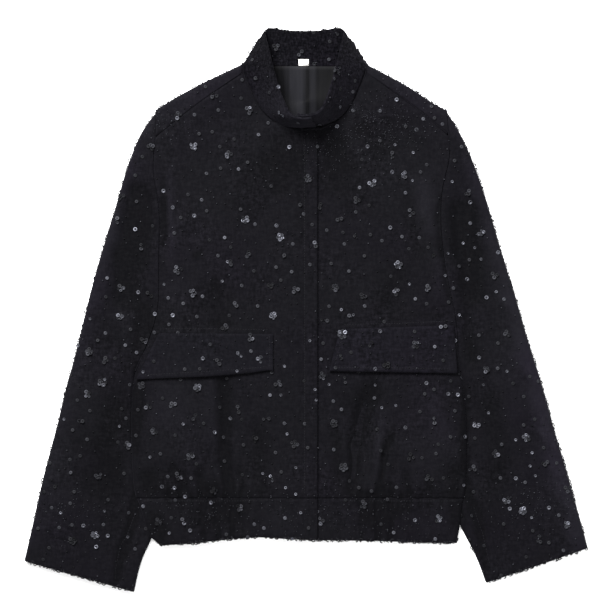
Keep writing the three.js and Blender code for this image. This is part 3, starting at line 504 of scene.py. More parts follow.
def close_shoulders(points):
    """How far to move the upper layer of the shoulder strip across and up, so that it meets the sleeves."""
    x, y, z = points.T
    left, right = (read_off(SHOULDER_ENDS, side, y) for side in ("left", "right"))
    upper = soft((z - 4) / 3) * (y > 221)
    at_right = soft(1 - (STRIP_RIGHT - x) / STRIP_REACH) * (x > 0)
    at_left = soft(1 - (x - STRIP_LEFT) / STRIP_REACH) * (x < 0)
    out = np.abs(x)
    drops = [read_off(table, "drop", out, "out") for table in (EDGE_DROP_RIGHT, EDGE_DROP_LEFT)]
    drop = np.where(x > 0, *drops)
    edge = STRIP_EDGE["y"] - STRIP_EDGE["slope"] * (out - STRIP_EDGE["out"])
    near_edge = soft((edge - y) / STRIP_EDGE["fade"])
    return upper * (right * at_right - left * at_left), -drop * upper * near_edge


def normals_of(piece):
    flat = np.empty(len(piece.data.vertices) * 3)
    piece.data.vertex_normals.foreach_get("vector", flat)
    return flat.reshape(-1, 3)


def paint_shade_and_light(piece, depth, nap=0):
    """Keeps the painted shade of each point, from how deep it lies in a fold and a shift: from -2, painted
    light on a ridge or a bright place, to 1, full painted shade.
    """
    painted_shade = piece.data.attributes.new("painted_shade", "FLOAT", "POINT")
    painted_shade.data.foreach_set("value", np.clip(depth / FULL_SHADE_DEPTH + nap, -2, 1))


# Patches of painted shade, and of painted light where dark is negative, in ellipses on the cloth.
SHADE_PATCHES = rows("x y across up dark", [
    (-110, -252, 40, 36, 0.6), (96, -258, 34, 34, 0.6), (-172, -224, 17, 20, 0.4), (-26, 190, 30, 36, 0.28),
    (-204, -12, 20, 14, 0.5), (-218, -138, 8, 52, 0.7), (203, -150, 8, 76, 0.7), (-190, -276, 16, 24, 0.6),
    (192, -262, 14, 30, 0.5), (150, -160, 42, 60, -0.3), (-165, -140, 46, 50, -0.25),
    (150, 140, 22, 50, -0.35), (-160, 24, 24, 26, -0.3), (-150, 90, 60, 60, -0.12), (-182, 118, 6, 60, 0.5),
    (-174, 118, 6, 60, -0.45), (-30, -270, 40, 20, -0.25), (170, -266, 26, 26, -0.2),
    (64, -110, 26, 18, 0.4), (96, 226, 52, 30, 0.35), (40, 196, 26, 22, 0.2), (-280, -120, 70, 170, 0.25),
    (285, -120, 60, 170, -0.12), (-138, 71, 7, 6, 0.7), (-115, 29, 8, 12, 0.5), (150, 113, 6, 9, 0.6),
    (69, 234, 10, 5, 0.8), (-226, 63, 7, 12, 0.5), (210, 44, 16, 34, 0.35),
])


def patch_shade(points):
    """How much painted shade the patches put on each point; less than none is painted light."""
    x, y = points[:, 0], points[:, 1]
    wander = 0.18 * np.sin(x / 9 + y / 13) + 0.14 * np.sin(y / 6.1 - x / 17)
    dark = np.zeros(len(points))
    for row in SHADE_PATCHES:
        away = np.hypot((x - row["x"]) / row["across"], (y - row["y"]) / row["up"])
        dark += row["dark"] * soft(1.25 - away + wander)
    return dark


def outer_light(points):
    """Painted light along the folded outer edge of a sleeve."""
    x, y = points[:, 0], points[:, 1]
    edge = 219 + np.where(y < 210, (210 - y) * 0.272, (210 - y) * 0.62)
    rough = 0.15 * np.sin(y / 5.3 + x / 7) + 0.12 * np.sin(y / 11.9)
    left, right = (read_off(EDGE_LIGHT, side, y) for side in ("left", "right"))
    return -np.where(x < 0, left, right) * soft(1 - (edge - np.abs(x - SLEEVES_X)) / EDGE_WIDTH + rough)


PLACKET_X = 0.5  # the right front's edge, and how far it sinks on to the left front along its length
PLACKET_SINK = rows("y sink", [
    (-240, 0.3), (-180, 1.3), (-60, 1.8), (30, 1.6), (80, 0.1), (190, 0.2), (225, 1.8),
])


def placket_sink(points):
    """How far the two fronts sink beside the placket's edge, on the side of the right front."""
    x, y = points[:, 0], points[:, 1]
    sink = read_off(PLACKET_SINK, "sink", y)
    return sink * soft(1 - (PLACKET_X - x) / 12) * (x < PLACKET_X)


def crease_body(piece):
    """Presses the body's creases and slack into a piece of its top layer."""
    points = points_of(piece)
    y, z = points[:, 1], points[:, 2]
    top = soft((z - 3.2) / 2.4)
    gathers = gather_depth(points)
    depth = crease_depth(points, BODY_CREASES) * soft((y + 244) / 16) + gathers
    points[:, 2] += top * (slack(points) + roll(points) - depth - placket_sink(points))
    points[:, 0] += close_side(points, BODY_SIDE, 1.3) + close_notch(points, NOTCH_BAND)
    set_points(piece, points)
    # Painted shade in the creases, twice over on the gathers, with the patches' painted shade and light.
    paint_shade_and_light(piece, top * (depth + gathers), patch_shade(points) * top)


# Creases of the back, which lies below: they rise into the jacket, so that it still rests flat.
BACK_CREASES = rows("x0 y0 x1 y1 half depth", [
    (-120, -110, -108, -232, 12, 1.1), (-62, -150, -70, -232, 9, 0.8), (12, -120, 4, -232, 14, 0.9),
    (84, -130, 92, -232, 10, 1.1), (142, -160, 134, -232, 8, 0.8), (-150, 150, -120, 40, 18, 0.8),
    (140, 140, 112, 30, 16, 0.9), (-20, 220, -14, 90, 12, 0.7),
])
SHOULDER_LIGHT = 0.5  # how much painted light is on top of the shoulders
BACK_ROOM = 0.6  # share of a crease's depth that the back has room for above it


def crease_back(piece):
    """Presses creases and gathers into the back from below."""
    points = points_of(piece)
    z = points[:, 2]
    low = soft((5.4 - z) / 2)
    depth = crease_depth(points, BACK_CREASES) * soft((points[:, 1] + 244) / 16) + 0.6 * gather_depth(points)
    points[:, 2] += low * BACK_ROOM * depth
    across, up = close_shoulders(points)
    points[:, 0] += close_side(points, BODY_SIDE, 1.3) + close_notch(points, NOTCH_BAND) + across
    points[:, 1] += up
    set_points(piece, points)
    # Painted light on top of the shoulders, and painted shade in the back's creases.
    shoulder = soft((points[:, 1] - 225) / 30) * soft((z - 5) / 3)
    paint_shade_and_light(piece, low * depth, -SHOULDER_LIGHT * shoulder)


def crease_sleeve(piece):
    """Presses the sleeves' creases and slack into the top layer of a sleeve."""
    points = points_of(piece)
    z = points[:, 2]
    top = soft((z - 3.6) / 3.2)
    depth = crease_depth(points, SLEEVE_CREASES)
    room = z - np.where(normals_of(piece)[:, 2] > 0, OUTER_FLOOR, INNER_FLOOR)
    points[:, 2] += top * np.maximum(1.3 * slack(points) - depth, -np.maximum(room, 0))
    points[:, 0] += close_side(points, SLEEVE_SIDE, -1.1) + close_notch(points, NOTCH_SLEEVE)
    set_points(piece, points)
    # Painted shade in the sleeve's creases, painted light along its outer edge, and the patches' painted
    # shade and light.
    paint_shade_and_light(piece, SLEEVE_SHADE * top * depth, outer_light(points) + patch_shade(points) * top)


# How far a pocket flap's lower edge sinks: everywhere, at the outer end of each flap, at the right flap's
# inner end, and in a wave along it. Then how far that edge is moved up the jacket.
FLAP_SINK = dict(all=1.7, outer_right=0.9, outer_left=0.7, inner=0.8, wave=0.4)
FLAP_SHIFT = rows("x up", [(-208, -2.9), (-128, -2.5), (-75, -0.3), (-47, 2.9), (-40, 0)])


def crease_flap(piece):
    """Lets a pocket flap sink towards the cloth below it, unevenly, and most at its outer end."""
    points = points_of(piece)
    x, y = points[:, 0], points[:, 1]
    down = soft((-28 - y) / 50)
    outer = soft((np.abs(x) - 130) / 60)
    inner = soft((x + 84) / 36) * (x < 0)
    sink = (FLAP_SINK["all"] + np.where(x < 0, FLAP_SINK["outer_right"], FLAP_SINK["outer_left"]) * outer
            + FLAP_SINK["inner"] * inner + FLAP_SINK["wave"] * np.sin(x / 17))
    points[:, 2] += 0.5 * slack(points) - down * sink
    points[:, 1] += down * read_off(FLAP_SHIFT, "up", x, "x")
    set_points(piece, points)
    paint_shade_and_light(piece, np.zeros(len(points)))


# Painted shade on the collar by height: most on its back band, some on its sides, and painted light at the
# front, where it faces down.
COLLAR_SHADE = rows("y nap", [
    (232, -1.5), (262, -0.3), (300, 0.3), (330, 0.7), (360, 0.8),
])
FAR_SIDE = 0.35  # how much less painted shade there is on the side away from the light
INNER_BAND = 0.35  # how much less painted shade there is on the band that shows inside
# The folded upper corners: how far out each is, its rounding, and how far it stands up above the middle.
COLLAR_CORNER = dict(out=43, round=11.5, top=360.5, drop=9, rise=2.2, rise_out=44, rise_width=26)
FRONT_LEAN = 5  # how far the collar's upper edge leans forward at the front


def round_collar(piece):
    """Rounds and lifts the collar's folded upper corners, and leans its upper edge forward at the front."""
    points = points_of(piece)
    x, y, z = points.T
    out = np.abs(x - NECK_X)
    past = np.maximum(out - COLLAR_CORNER["out"], 0) / COLLAR_CORNER["round"]
    limit = COLLAR_CORNER["top"] - COLLAR_CORNER["drop"] * np.minimum(past, 1.2) ** 2
    points[:, 1] = np.where(y > limit, limit + 0.12 * (y - limit), y)
    corner = soft(1 - np.abs(out - COLLAR_CORNER["rise_out"]) / COLLAR_CORNER["rise_width"])
    points[:, 1] += COLLAR_CORNER["rise"] * corner * soft((y - 338) / 20)
    points[:, 1] -= FRONT_LEAN * soft((268 - y) / 20) * soft((z - 16) / 24)
    set_points(piece, points)
    # Painted shade and light on the collar: lighter where it faces down at the front, with less shade inside
    # and on the side away from the light.
    nap = read_off(COLLAR_SHADE, "nap", y)
    nap = np.where(nap < 0, nap * soft(0.6 - 1.5 * normals_of(piece)[:, 1]), nap)
    inside = soft((44 - out) / 6) * soft((y - 306) / 8)
    paint_shade_and_light(piece, 0, nap - INNER_BAND * inside - FAR_SIDE * soft((x - 20) / 40))


# Share of the label's height, and of its width, that is left when its edges are turned under.
LABEL_FOOT = 0.84
LABEL_SIDES = 0.92


def turn_under(piece):
    """Draws the label in to its sewn size, towards its lower edge."""
    points = points_of(piece)
    middle = (points[:, 0].min() + points[:, 0].max()) / 2
    foot = points[:, 1].min()
    points[:, 0] = middle + LABEL_SIDES * (points[:, 0] - middle)
    points[:, 1] = foot + LABEL_FOOT * (points[:, 1] - foot)
    set_points(piece, points)


def dress(piece, material, node):
    """Gives a piece its material and its body, and hides the node that it stands for."""
    piece.data.materials.clear()
    piece.data.materials.append(material)
    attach(piece, ROOT)
    if node:
        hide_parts(node)
    return piece


def cloth_piece(node, name, crease=None, material=SHELL, levels=2):
    piece = fine_copy(node, name, levels)
    if crease:
        crease(piece)
    return dress(piece, material, node)


back = cloth_piece("back", "back_panel", crease_back)
front_right = cloth_piece("front_right", "front_panel_right", crease_body)
front_left = cloth_piece("front_left", "front_panel_left", crease_body)
hem_back = cloth_piece("hem_back", "hem_band_back", crease_back)
hem_right = cloth_piece("hem_front_right", "hem_band_front_right", crease_body)
hem_left = cloth_piece("hem_front_left", "hem_band_front_left", crease_body)
sleeve_right = cloth_piece("sleeve_right", "sleeve_right_tube", crease_sleeve)
sleeve_left = cloth_piece("sleeve_left", "sleeve_left_tube", crease_sleeve)
collar = cloth_piece("collar", "stand_collar", round_collar, SHADED_COLLAR_CLOTH)
flap_right = cloth_piece("flap_right", "pocket_flap_right", crease_flap, LIT_FLAP_CLOTH)
flap_left = cloth_piece("flap_left", "pocket_flap_left", crease_flap, LIT_FLAP_CLOTH)
lining = cloth_piece("back_lining", "neck_lining", None, SATIN)
label = cloth_piece("size_label", "blank_label", turn_under, TAPE, 0)


# What is sewn on

OUTSIDE = [back, front_right, front_left, hem_back, hem_right, hem_left, sleeve_right, sleeve_left, collar,
           flap_right, flap_left]


def surface_tree(pieces):
    """One search tree over the faces of several pieces."""
    vertices, faces = [], []
    for piece in pieces:
        first = len(vertices)
        vertices += [v.co.copy() for v in piece.data.vertices]
        faces += [[first + k for k in face.vertices] for face in piece.data.polygons]
    return BVHTree.FromPolygons(vertices, faces)


TREE = surface_tree(OUTSIDE)
COVER_TREE = surface_tree([lining, label])
DOWN = Vector((0, 0, -1))
SKY = 0.2


def on_cloth(x, y):
    """Where a drop from above first meets the outer cloth at a place in millimetres, or None."""
    start = Vector((x * MM, y * MM, SKY))
    spot, normal, _, distance = TREE.ray_cast(start, DOWN)
    if spot is None or normal.z < 0.12:
        return None
    over = COVER_TREE.ray_cast(start, DOWN)
    if over[0] is not None and over[3] < distance:
        return None
    return spot, normal


def cup_shape(radius, depth, slope=0.42, ring=0.36, sides=9):
    """A cup sequin, open side up: a sloped rim, a flat ring and the hole that it is sewn through."""
    cup = bmesh.new()
    bmesh.ops.create_circle(cup, cap_ends=True, segments=sides, radius=radius * MM)
    cup.faces.ensure_lookup_table()
    middle = cup.faces[0]
    bmesh.ops.inset_individual(cup, faces=[middle], thickness=radius * slope * MM, depth=0)
    bmesh.ops.translate(cup, verts=middle.verts, vec=(0, 0, -depth * MM))
    bmesh.ops.inset_individual(cup, faces=[middle], thickness=radius * ring * MM, depth=0)
    bmesh.ops.delete(cup, geom=[middle], context="FACES")
    bmesh.ops.translate(cup, verts=cup.verts, vec=(0, 0, depth * MM))
    bmesh.ops.solidify(cup, geom=cup.faces[:], thickness=0.18 * MM)
    bmesh.ops.recalc_face_normals(cup, faces=cup.faces)
    return cup


def bead_shape(radius):
    bead = bmesh.new()
    bmesh.ops.create_icosphere(bead, subdivisions=1, radius=radius * MM)
    bmesh.ops.translate(bead, verts=bead.verts, vec=(0, 0, radius * 0.8 * MM))
    return bead


def template(shape):
    """A shape's points and faces as plain lists."""
    shape.verts.index_update()
    made = [v.co.copy() for v in shape.verts], [[v.index for v in f.verts] for f in shape.faces]
    shape.free()
    return made


def turn_to(normal, spin):
    return normal.to_track_quat("Z", "Y").to_matrix().to_4x4() @ Matrix.Rotation(spin, 4, "Z")


class Gathered:
    """Many small shapes gathered in one mesh, each with a tone of its own."""

    def __init__(self):
        self.vertices, self.faces, self.tones = [], [], []

    def put(self, shape, matrix, tone):
        points, faces = shape
        first = len(self.vertices)
        self.vertices += [matrix @ p for p in points]
        self.faces += [[first + k for k in face] for face in faces]
        self.tones += [tone] * len(points)

    def build(self, name, material, slot):
        mesh = bpy.data.meshes.new(name)
        mesh.from_pydata(self.vertices, [], self.faces)
        tone = mesh.attributes.new("tone", "FLOAT", "POINT")
        tone.data.foreach_set("value", self.tones)
        mesh.update()
        mesh.shade_smooth()
        return dress(in_scene(name, mesh), material, None)


CUP = template(cup_shape(2.6, 0.9))
SMALL_CUP = template(cup_shape(1.9, 0.7))
PETAL = template(cup_shape(2.6, 1.0, 0.56, 0.3))
DISC = template(cup_shape(2.5, 0.7, 0.68, 0.2))
PRESSED = template(cup_shape(2.5, 0.4))
BEAD = template(bead_shape(1.0))
FINE_BEAD = template(bead_shape(0.6))
BACK_SEQUINS = 420
CLEARANCE = 0.25
STEP_DOWN = 2.5  # a petal isn't sewn over an edge that drops more than this
MISSING = 0.2  # share of petals that have come off or were never sewn

# The flowers that show best, with their number of petals and their glint: how much painted highlight their
# petals get.
FLOWERS = rows("x y petals bright", [
    (-163, 52, 6, 0.9), (-33, 94, 5, 0.8), (-78, 116, 5, 0.8), (-144, 211, 5, 0.8), (-99, 199, 5, 0.9),
    (-73, 256, 5, 0.8), (-163, 249, 5, 0.4), (-145, 22, 5, 0.5), (-42, -7, 5, 0.6), (-71, -34, 5, 0.8),
    (-86, -57, 5, 0.7), (-58, -62, 4, 0.6), (-148, -187, 5, 0.5), (-163, -212, 5, 0.5), (-43, -215, 5, 0.7),
    (-139, -99, 5, 0.6), (-170, -122, 5, 0.4), (-36, -94, 5, 0.4), (46, -30, 6, 0.8), (21, -84, 4, 0.4),
    (85, 163, 5, 0.9), (126, 173, 5, 0.9), (118, 58, 5, 0.7), (116, 24, 5, 0.6), (74, 20, 5, 0.3),
    (37, 29, 5, 0.5), (-99, 60, 5, 0.5), (224, 100, 5, 0.8), (175, -20, 5, 0.5), (257, -30, 5, 0.5),
    (218, -146, 5, 0.7), (243, -183, 5, 0.6), (282, -162, 5, 0.7), (256, -242, 5, 0.6), (277, -256, 5, 0.8),
    (297, -292, 6, 0.9), (333, -274, 5, 0.9), (169, -266, 5, 0.9), (73, -248, 5, 0.8), (48, -201, 5, 0.5),
    (-156, -270, 5, 0.7), (-270, -287, 5, 0.8), (-266, -211, 5, 0.5), (-229, -173, 5, 0.5),
    (-237, 29, 5, 0.7), (-238, -8, 5, 0.6), (-260, -91, 6, 0.5), (-280, -107, 5, 0.6), (-277, -53, 5, 0.5),
    (-207, -37, 6, 0.3), (-258, -63, 5, 0.5), (18, -270, 4, 0.6), (19, 238, 5, 0.8), (-31, 249, 4, 0.8),
    (13, 317.5, 3, 0.6), (-7, 330, 2, 0.4),
])


def place_matrix(spot, normal, spin, lift=CLEARANCE):
    return Matrix.Translation(spot + normal * lift * MM) @ turn_to(normal, spin)


def tilted(normal, most):
    """The normal tipped a little, as a loosely sewn sequin lies."""
    tip = Vector((random.uniform(-most, most), random.uniform(-most, most), 0))
    return (normal + tip).normalized()


def sew_flower(heaps, x, y, petals, bright):
    """Petals of cup sequins round a bead, some of them turned or missing."""
    spin = random.uniform(0, math.tau)
    reach = 3.2 if petals < 6 else 3.9
    middle = on_cloth(x, y)
    if middle is None:
        return
    for k in range(petals):
        if random.random() < MISSING:
            continue
        angle = spin + math.tau * k / petals + random.uniform(-0.12, 0.12)
        away = reach * random.uniform(0.82, 1.2)
        spot = on_cloth(x + away * math.cos(angle), y + away * math.sin(angle))
        if spot is None or abs(spot[0].z - middle[0].z) > STEP_DOWN * MM:
            continue
        # The petals' tone differs at random; its light end is painted highlight, for petals that catch the
        # light.
        tone = min(1.0, bright * (0.12 + 1.2 * random.random() ** 1.8))
        outward = Vector((math.cos(angle), math.sin(angle), 0))
        lean = (tilted(spot[1], 0.35) - outward * random.uniform(-0.15, 0.35)).normalized()
        petal = random.choice((PETAL, PETAL, PETAL, SMALL_CUP))
        heaps["cup"].put(petal, place_matrix(spot[0], lean, angle, 0.5), tone)
    heaps["bead"].put(BEAD, place_matrix(*middle, spin, 0.1), 0.7 * bright)


def scatter(count, spacing, ready):
    """Seeded places on the cloth, no two closer than the spacing, nor close to those that are ready."""
    places = list(ready)
    found = []
    (low, high) = cad_box
    for _ in range(count * 30):
        if len(found) >= count:
            break
        x = random.uniform(low[0], high[0]) / MM
        y = random.uniform(low[1], high[1]) / MM
        if any((x - a) ** 2 + (y - b) ** 2 < spacing ** 2 for a, b in places):
            continue
        spot = on_cloth(x, y)
        if spot is None:
            continue
        places.append((x, y))
        found.append((x, y, spot))
    return found


# Places where fine glass beads lie close together, as on the right of the picture's neck and along the hem.
GLITTER = rows("x y spread count", [
    (92, 236, 34, 330), (24, 206, 26, 110), (-140, -258, 40, 150), (-10, -266, 46, 150),
    (110, -262, 40, 130), (-176, 238, 22, 70), (-300, -250, 34, 110), (290, -250, 36, 120),
])
UNDER = 0.35  # how far a sequin of the back is pressed into its cloth
BACK_FLOWER = dict(petals=5, turn=1.26, reach=4)


def sew_back():
    """Sequins and flowers on the back, pressed flat by the jacket's weight."""
    heap = Gathered()
    for _ in range(BACK_SEQUINS):
        x, y = random.uniform(-330, 330), random.uniform(-340, 340)
        for k in range(random.choice((1, 1, 1, 1, BACK_FLOWER["petals"]))):
            angle = BACK_FLOWER["turn"] * k
            away = BACK_FLOWER["reach"]
            start = Vector(((x + away * math.cos(angle)) * MM, (y + away * math.sin(angle)) * MM, -SKY))
            spot, normal, _, _ = TREE.ray_cast(start, -DOWN)
            if spot is not None and normal.z < -0.9 and spot.z < 1.5 * MM:
                heap.put(PRESSED, place_matrix(spot, normal, k, -UNDER), 0.06 + 0.8 * random.random() ** 3)
    heap.build("cup_sequins_back", SEQUIN, "sequin_black")


def sew_sequins():
    heaps = {"cup": Gathered(), "bead": Gathered()}
    ready = []
    for row in FLOWERS:
        sew_flower(heaps, **row)
        ready.append((row["x"], row["y"]))
    for x, y, _ in scatter(60, 24, ready):
        sew_flower(heaps, x, y, random.choice((2, 3, 3, 4, 5)), random.uniform(0.02, 0.4))
        ready.append((x, y))
    for x, y, (spot, normal) in scatter(340, 12, ready):
        # The tones of sequins and beads differ at random; their light end is painted highlight, for those
        # that catch the light.
        tone = 0.06 + 0.9 * random.random() ** 3
        shape = random.choice((CUP, SMALL_CUP)) if tone > 0.4 else DISC
        heaps["cup"].put(shape, place_matrix(spot, tilted(normal, 0.3), random.uniform(0, math.tau)), tone)
        ready.append((x, y))
    for x, y, (spot, normal) in scatter(700, 5.5, ready):
        heaps["bead"].put(BEAD, place_matrix(spot, normal, 0, 0), 0.45 * random.random() ** 2)
    for row in GLITTER:
        for _ in range(row["count"]):
            x = random.gauss(row["x"], row["spread"])
            found = on_cloth(x, random.gauss(row["y"], row["spread"] * 0.6))
            if found:
                heaps["bead"].put(FINE_BEAD, place_matrix(*found, 0, 0), 0.1 + 0.5 * random.random() ** 2)
    heaps["cup"].build("cup_sequins", SEQUIN, "sequin_black")
    heaps["bead"].build("seed_beads", SEQUIN, "sequin_black")


sew_sequins()
sew_back()


# Seams, stitches and frayed yarn. Their paths are x and y in millimetres.

ARMHOLE_RIGHT = [(-190.9, 246), (-192.9, 222), (-194.9, 200), (-195.4, 177), (-190.6, 150), (-187.2, 115),
                 (-188.2, 80), (-188.7, 45), (-187.6, 13), (-192.9, -15), (-200.1, -35), (-206.4, -52),
                 (-214.4, -68), (-220.5, -82)]
ARMHOLE_LEFT = [(178.4, 246), (183.9, 222), (184.4, 200), (179.4, 177), (173.9, 150), (172.4, 115),
                (174.9, 80), (180.4, 45), (187.4, 13), (192.4, -15), (194, -35), (194.4, -52),
                (195.9, -68), (198.5, -82)]
SHOULDER_RIGHT = [(-81.5, 303), (-109, 286), (-137, 265.5), (-164, 245), (-192, 222.6)]
SHOULDER_LEFT = [(77.5, 303), (105, 286), (132, 265.5), (158, 244.2), (166, 237.9), (170, 234.8),
                 (177, 229.3), (183.4, 223.6)]
COLLAR_SEAM_RIGHT = [(-2, 231.6), (-22.5, 233), (-43.3, 242.2), (-58, 256.7), (-68.2, 275), (-76.4, 292),
                     (-80.7, 304), (-82, 310)]
HEM_SEAM = [(-210, -240.2), (-100, -240.2), (0, -240.2), (100, -240.2), (196, -240.2)]
# Where a seam reaches the outline, its last points go down round the fold: x, y and z.
ARMHOLE_TOP_RIGHT = [(-192.2, 253.6, 3), (-192, 252.8, 6), (-191.6, 250, 8.6)]
ARMHOLE_TOP_LEFT = [(180.2, 251.6, 3), (180, 250.8, 6), (179.4, 248.5, 8.6)]
COLLAR_END_RIGHT = [(-81.6, 313, 9), (-81.4, 315.6, 6), (-81, 316.4, 3)]
SEAM_RADIUS = 1.5
LOWER_LAYER = 4  # cloth below this height is the underside, seen through a seam
# How far a turned seam edge lies below the cloth. At the lap the collar's edge stands on the left front,
# which is lower there.
SEAM_SINK = dict(shoulder=0.3, armhole=0.8, hem=0.1, collar=1.1, lap=-1.6)


def mirrored(path):
    """The same path on the other side of the neck."""
    return [(2 * NECK_X - point[0],) + tuple(point[1:]) for point in path]


def even_points(path, step):
    """Points along a path, a step apart, each with its direction."""
    found = []
    for (x0, y0), (x1, y1) in zip(path, path[1:]):
        length = math.hypot(x1 - x0, y1 - y0)
        count = max(1, round(length / step))
        for k in range(count):
            t = k / count
            found.append((x0 + (x1 - x0) * t, y0 + (y1 - y0) * t, (x1 - x0) / length, (y1 - y0) / length))
    return found


def seam_points(path, seam):
    """A seam's points under the lower one of the two edges that it joins."""
    points = []
    for x, y, dx, dy in even_points(path, 5):
        for beside in (2.6, 4.4):
            sides = [on_cloth(x - dy * beside * side, y + dx * beside * side) for side in (-1, 1)]
            heights = [spot[0].z / MM for spot in sides if spot and spot[0].z > LOWER_LAYER * MM]
            if heights:
                break
        if heights:
            level = (min(heights) + sum(heights) / len(heights)) / 2
            points.append((x, y, level - SEAM_RADIUS - SEAM_SINK[seam]))
    return points


def sew_seams():
    """The turned edges of cloth inside each seam, as one piece of thin cords that closes the seams."""
    curve = bpy.data.curves.new("turned_seam_edges", "CURVE")
    curve.dimensions = "3D"
    curve.bevel_depth = SEAM_RADIUS * MM
    curve.bevel_resolution = 1
    curve.use_fill_caps = True
    runs = [ARMHOLE_TOP_RIGHT + seam_points(ARMHOLE_RIGHT[:3], "shoulder"),
            seam_points(ARMHOLE_RIGHT[2:], "armhole"),
            ARMHOLE_TOP_LEFT + seam_points(ARMHOLE_LEFT[:3], "shoulder"),
            seam_points(ARMHOLE_LEFT[2:], "armhole"),
            seam_points(SHOULDER_RIGHT, "shoulder"), seam_points(SHOULDER_LEFT, "shoulder"),
            seam_points(HEM_SEAM, "hem"), seam_points(COLLAR_SEAM_RIGHT, "collar") + COLLAR_END_RIGHT,
            seam_points(mirrored(COLLAR_SEAM_RIGHT), "collar") + mirrored(COLLAR_END_RIGHT),
            seam_points(mirrored(COLLAR_SEAM_RIGHT[:3]), "lap")]
    for run in runs:
        spline = curve.splines.new("POLY")
        spline.points.add(len(run) - 1)
        for point, (x, y, z) in zip(spline.points, run):
            point.co = (x * MM, y * MM, z * MM, 1)
    piece = in_scene("turned_seam_edges", curve)
    mesh = bpy.data.meshes.new_from_object(piece.evaluated_get(bpy.context.evaluated_depsgraph_get()))
    bpy.data.objects.remove(piece)
    mesh.shade_smooth()
    return dress(in_scene("turned_seam_edges", mesh), SHELL, None)


def stitch_shape():
    """One stitch: a short piece of thread that sinks in at both ends."""
    stitch = bmesh.new()
    bmesh.ops.create_uvsphere(stitch, u_segments=6, v_segments=4, radius=1.0)
    bmesh.ops.rotate(stitch, verts=stitch.verts, cent=(0, 0, 0), matrix=Matrix.Rotation(math.pi / 2, 3, "Y"))
    bmesh.ops.scale(stitch, verts=stitch.verts, vec=(1.3 * MM, 0.32 * MM, 0.28 * MM))
    return stitch


def loop_shape(turn, radius=2.0, yarn=0.7):
    """A bent end of yarn that has worked loose: part of a ring."""
    loop = bmesh.new()
    bmesh.ops.create_circle(loop, segments=4, radius=yarn * MM, cap_ends=True)
    bmesh.ops.rotate(loop, verts=loop.verts, cent=(0, 0, 0), matrix=Matrix.Rotation(math.pi / 2, 3, "X"))
    bmesh.ops.translate(loop, verts=loop.verts, vec=(radius * MM, 0, 0))
    bmesh.ops.spin(loop, geom=loop.faces[:], cent=(0, 0, 0), axis=(0, 0, 1), angle=turn, steps=6)
    bmesh.ops.recalc_face_normals(loop, faces=loop.faces)
    return loop


STITCH = template(stitch_shape())
LOOPS = [template(loop_shape(math.radians(turn))) for turn in (150, 230, 300)]
# Rows of stitches, and how far apart.
STITCH_ROWS = [
    [(-1.8, 222), (-1.8, -236)],
    [(-47, -71), (-75, -74.4), (-130, -78), (-208, -82.5)],
    [(-46.6, -34), (-46.6, -71)],
    [(-50, -24.6), (-120, -23.4), (-182, -23)],
    [(36, -73), (110, -73.2), (187, -75)],
    [(47.4, -28), (37, -71)],
    [(50, -18.2), (120, -16.4), (184, -13.4)],
    [(-206, -243.8), (-60, -243.8)],
    [(52, -243.8), (194, -243.8)],
    [(-219.6, -262), (-229, -288), (-238, -302), (-243.4, -330), (-244, -346)],
    [(215.2, -253), (221.6, -274), (226, -285), (235.4, -326)],
]
STITCH_STEP = 3.4
# Edges along which the yarn frays, where it points to outwards, and how many loops there are in 100 mm.
FRAYED_EDGES = [
    dict(path=[(-184, -296), (-150, -294), (-110, -289), (-62, -286), (0, -289), (84, -290), (190, -293)],
         out=(0, -1), dense=60),
    dict(path=[(-222, -354), (-290, -335), (-356, -318)], out=(-0.28, -0.96), dense=50),
    dict(path=[(234, -344), (300, -324), (360, -302)], out=(0.3, -0.95), dense=50),
    dict(path=[(-48, 354), (0, 353), (44, 354)], out=(0, 1), dense=26),
    dict(path=[(-58, 335), (-78, 312)], out=(-0.85, 0.5), dense=22),
    dict(path=[(54, 338), (76, 310)], out=(0.85, 0.5), dense=90, size=1.5),
    dict(path=[(-205, 215), (-240, 130), (-290, -50), (-345, -300)], out=(-0.97, 0.25), dense=26),
    dict(path=[(196, 215), (228, 130), (282, -50), (350, -290)], out=(0.97, 0.25), dense=34),
    dict(path=[(-90, 305), (-150, 276), (-205, 230)], out=(-0.5, 0.87), dense=26),
    dict(path=[(86, 303), (150, 270), (200, 215)], out=(0.5, 0.87), dense=34),
    dict(path=[(-204, -338), (-196, -302)], out=(1, 0.2), dense=26),
    dict(path=[(214, -330), (204, -296)], out=(-1, 0.2), dense=26),
]


def edge_spot(x, y, out, reach=16):
    """The last place on the cloth from a point outwards, found by halving."""
    inside, outside = 0.0, float(reach)
    if on_cloth(x, y) is None:
        inside = -8.0
    for _ in range(9):
        middle = (inside + outside) / 2
        if on_cloth(x + out[0] * middle, y + out[1] * middle):
            inside = middle
        else:
            outside = middle
    return on_cloth(x + out[0] * inside, y + out[1] * inside)


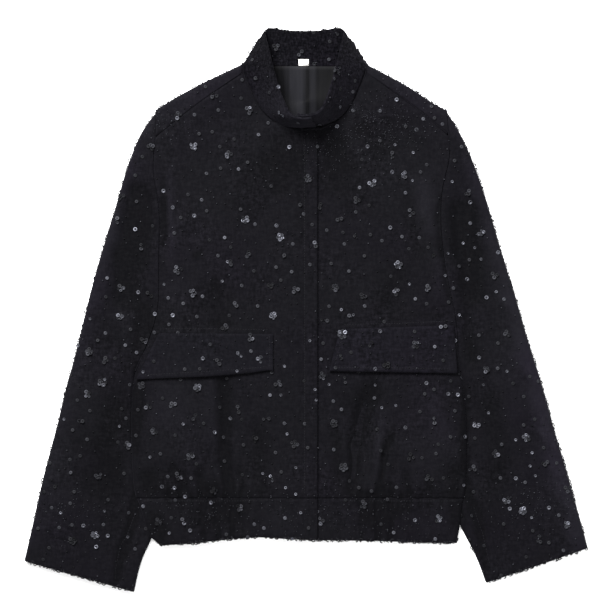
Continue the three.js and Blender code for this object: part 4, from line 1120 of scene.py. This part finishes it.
def sew_thread():
    """Rows of stitches, and loops of yarn along the edges, as two joined pieces."""
    stitches, frays = Gathered(), Gathered()
    for path in STITCH_ROWS:
        for x, y, dx, dy in even_points(path, STITCH_STEP):
            found = on_cloth(x, y)
            if found is None:
                continue
            spot, normal = found
            along = math.atan2(dy, dx)
            flat = normal.rotation_difference(Vector((0, 0, 1))).inverted().to_matrix().to_4x4()
            matrix = Matrix.Translation(spot + normal * 0.05 * MM) @ flat @ Matrix.Rotation(along, 4, "Z")
            stitches.put(STITCH, matrix, 0.0)
    for row in FRAYED_EDGES:
        for x, y, dx, dy in even_points(row["path"], 100 / row["dense"]):
            shift = random.uniform(-2, 2)
            found = edge_spot(x + dx * shift, y + dy * shift, row["out"])
            if found is None:
                continue
            spot, normal = found
            outward = Vector((row["out"][0], row["out"][1], 0))
            turn = Matrix.Rotation(random.uniform(0, math.tau), 4, "Z")
            lean = Matrix.Rotation(random.uniform(-0.7, 0.7), 4, "X")
            lean = lean @ Matrix.Rotation(random.uniform(-0.7, 0.7), 4, "Y")
            larger = row.get("size", 1)
            size = Matrix.Scale(larger * random.uniform(0.45, 1.15), 4)
            away = random.uniform(-1.5, 0.2) - 2 * (larger - 1)
            place = Matrix.Translation(spot + outward * away * MM)
            frays.put(random.choice(LOOPS), place @ lean @ turn @ size, 0.0)
    stitches.build("topstitches", THREAD, "shell_cloth")
    frays.build("frayed_yarn", THREAD, "shell_cloth")


sew_seams()
sew_thread()


# Floor, light and camera

def make_floor():
    sheet = bmesh.new()
    bmesh.ops.create_grid(sheet, x_segments=1, y_segments=1, size=3.0)
    bmesh.ops.translate(sheet, verts=sheet.verts, vec=(0, 0, -0.3 * MM))
    mesh = bpy.data.meshes.new("floor")
    sheet.to_mesh(mesh)
    sheet.free()
    floor = in_scene("floor", mesh)
    mesh.materials.append(studio_floor())


def area_light(name, place, size, power):
    """A soft box at a place in metres that faces the jacket."""
    lamp = bpy.data.lights.new(name, "AREA")
    lamp.shape = "SQUARE"
    lamp.size = size
    lamp.energy = power
    light = in_scene(name, lamp)
    light.location = place
    light.rotation_euler = (-Vector(place)).to_track_quat("-Z", "Y").to_euler()


def make_camera():
    """A long lens straight above. The picture is 600 pixels of 1.28 mm across at the cloth."""
    distance, picture = 4.0, 600 * 1.28 * MM
    lens = bpy.data.cameras.new("camera")
    lens.lens = lens.sensor_width * distance / picture
    lens.clip_end = 20
    camera = in_scene("camera", lens)
    camera.location = (-7.7 * MM, 13.4 * MM, distance + 6 * MM)
    bpy.context.scene.camera = camera


make_floor()
area_light("key", (-1.0, 2.1, 2.3), 1.3, 400)
area_light("fill", (1.3, -1.2, 2.5), 2.4, 80)
world = bpy.data.worlds.new("studio")
world.use_nodes = True
world.node_tree.nodes["Background"].inputs["Color"].default_value = linear("#ffffff")
world.node_tree.nodes["Background"].inputs["Strength"].default_value = 0.6
bpy.context.scene.world = world
bpy.context.scene.view_settings.view_transform = "Standard"
make_camera()
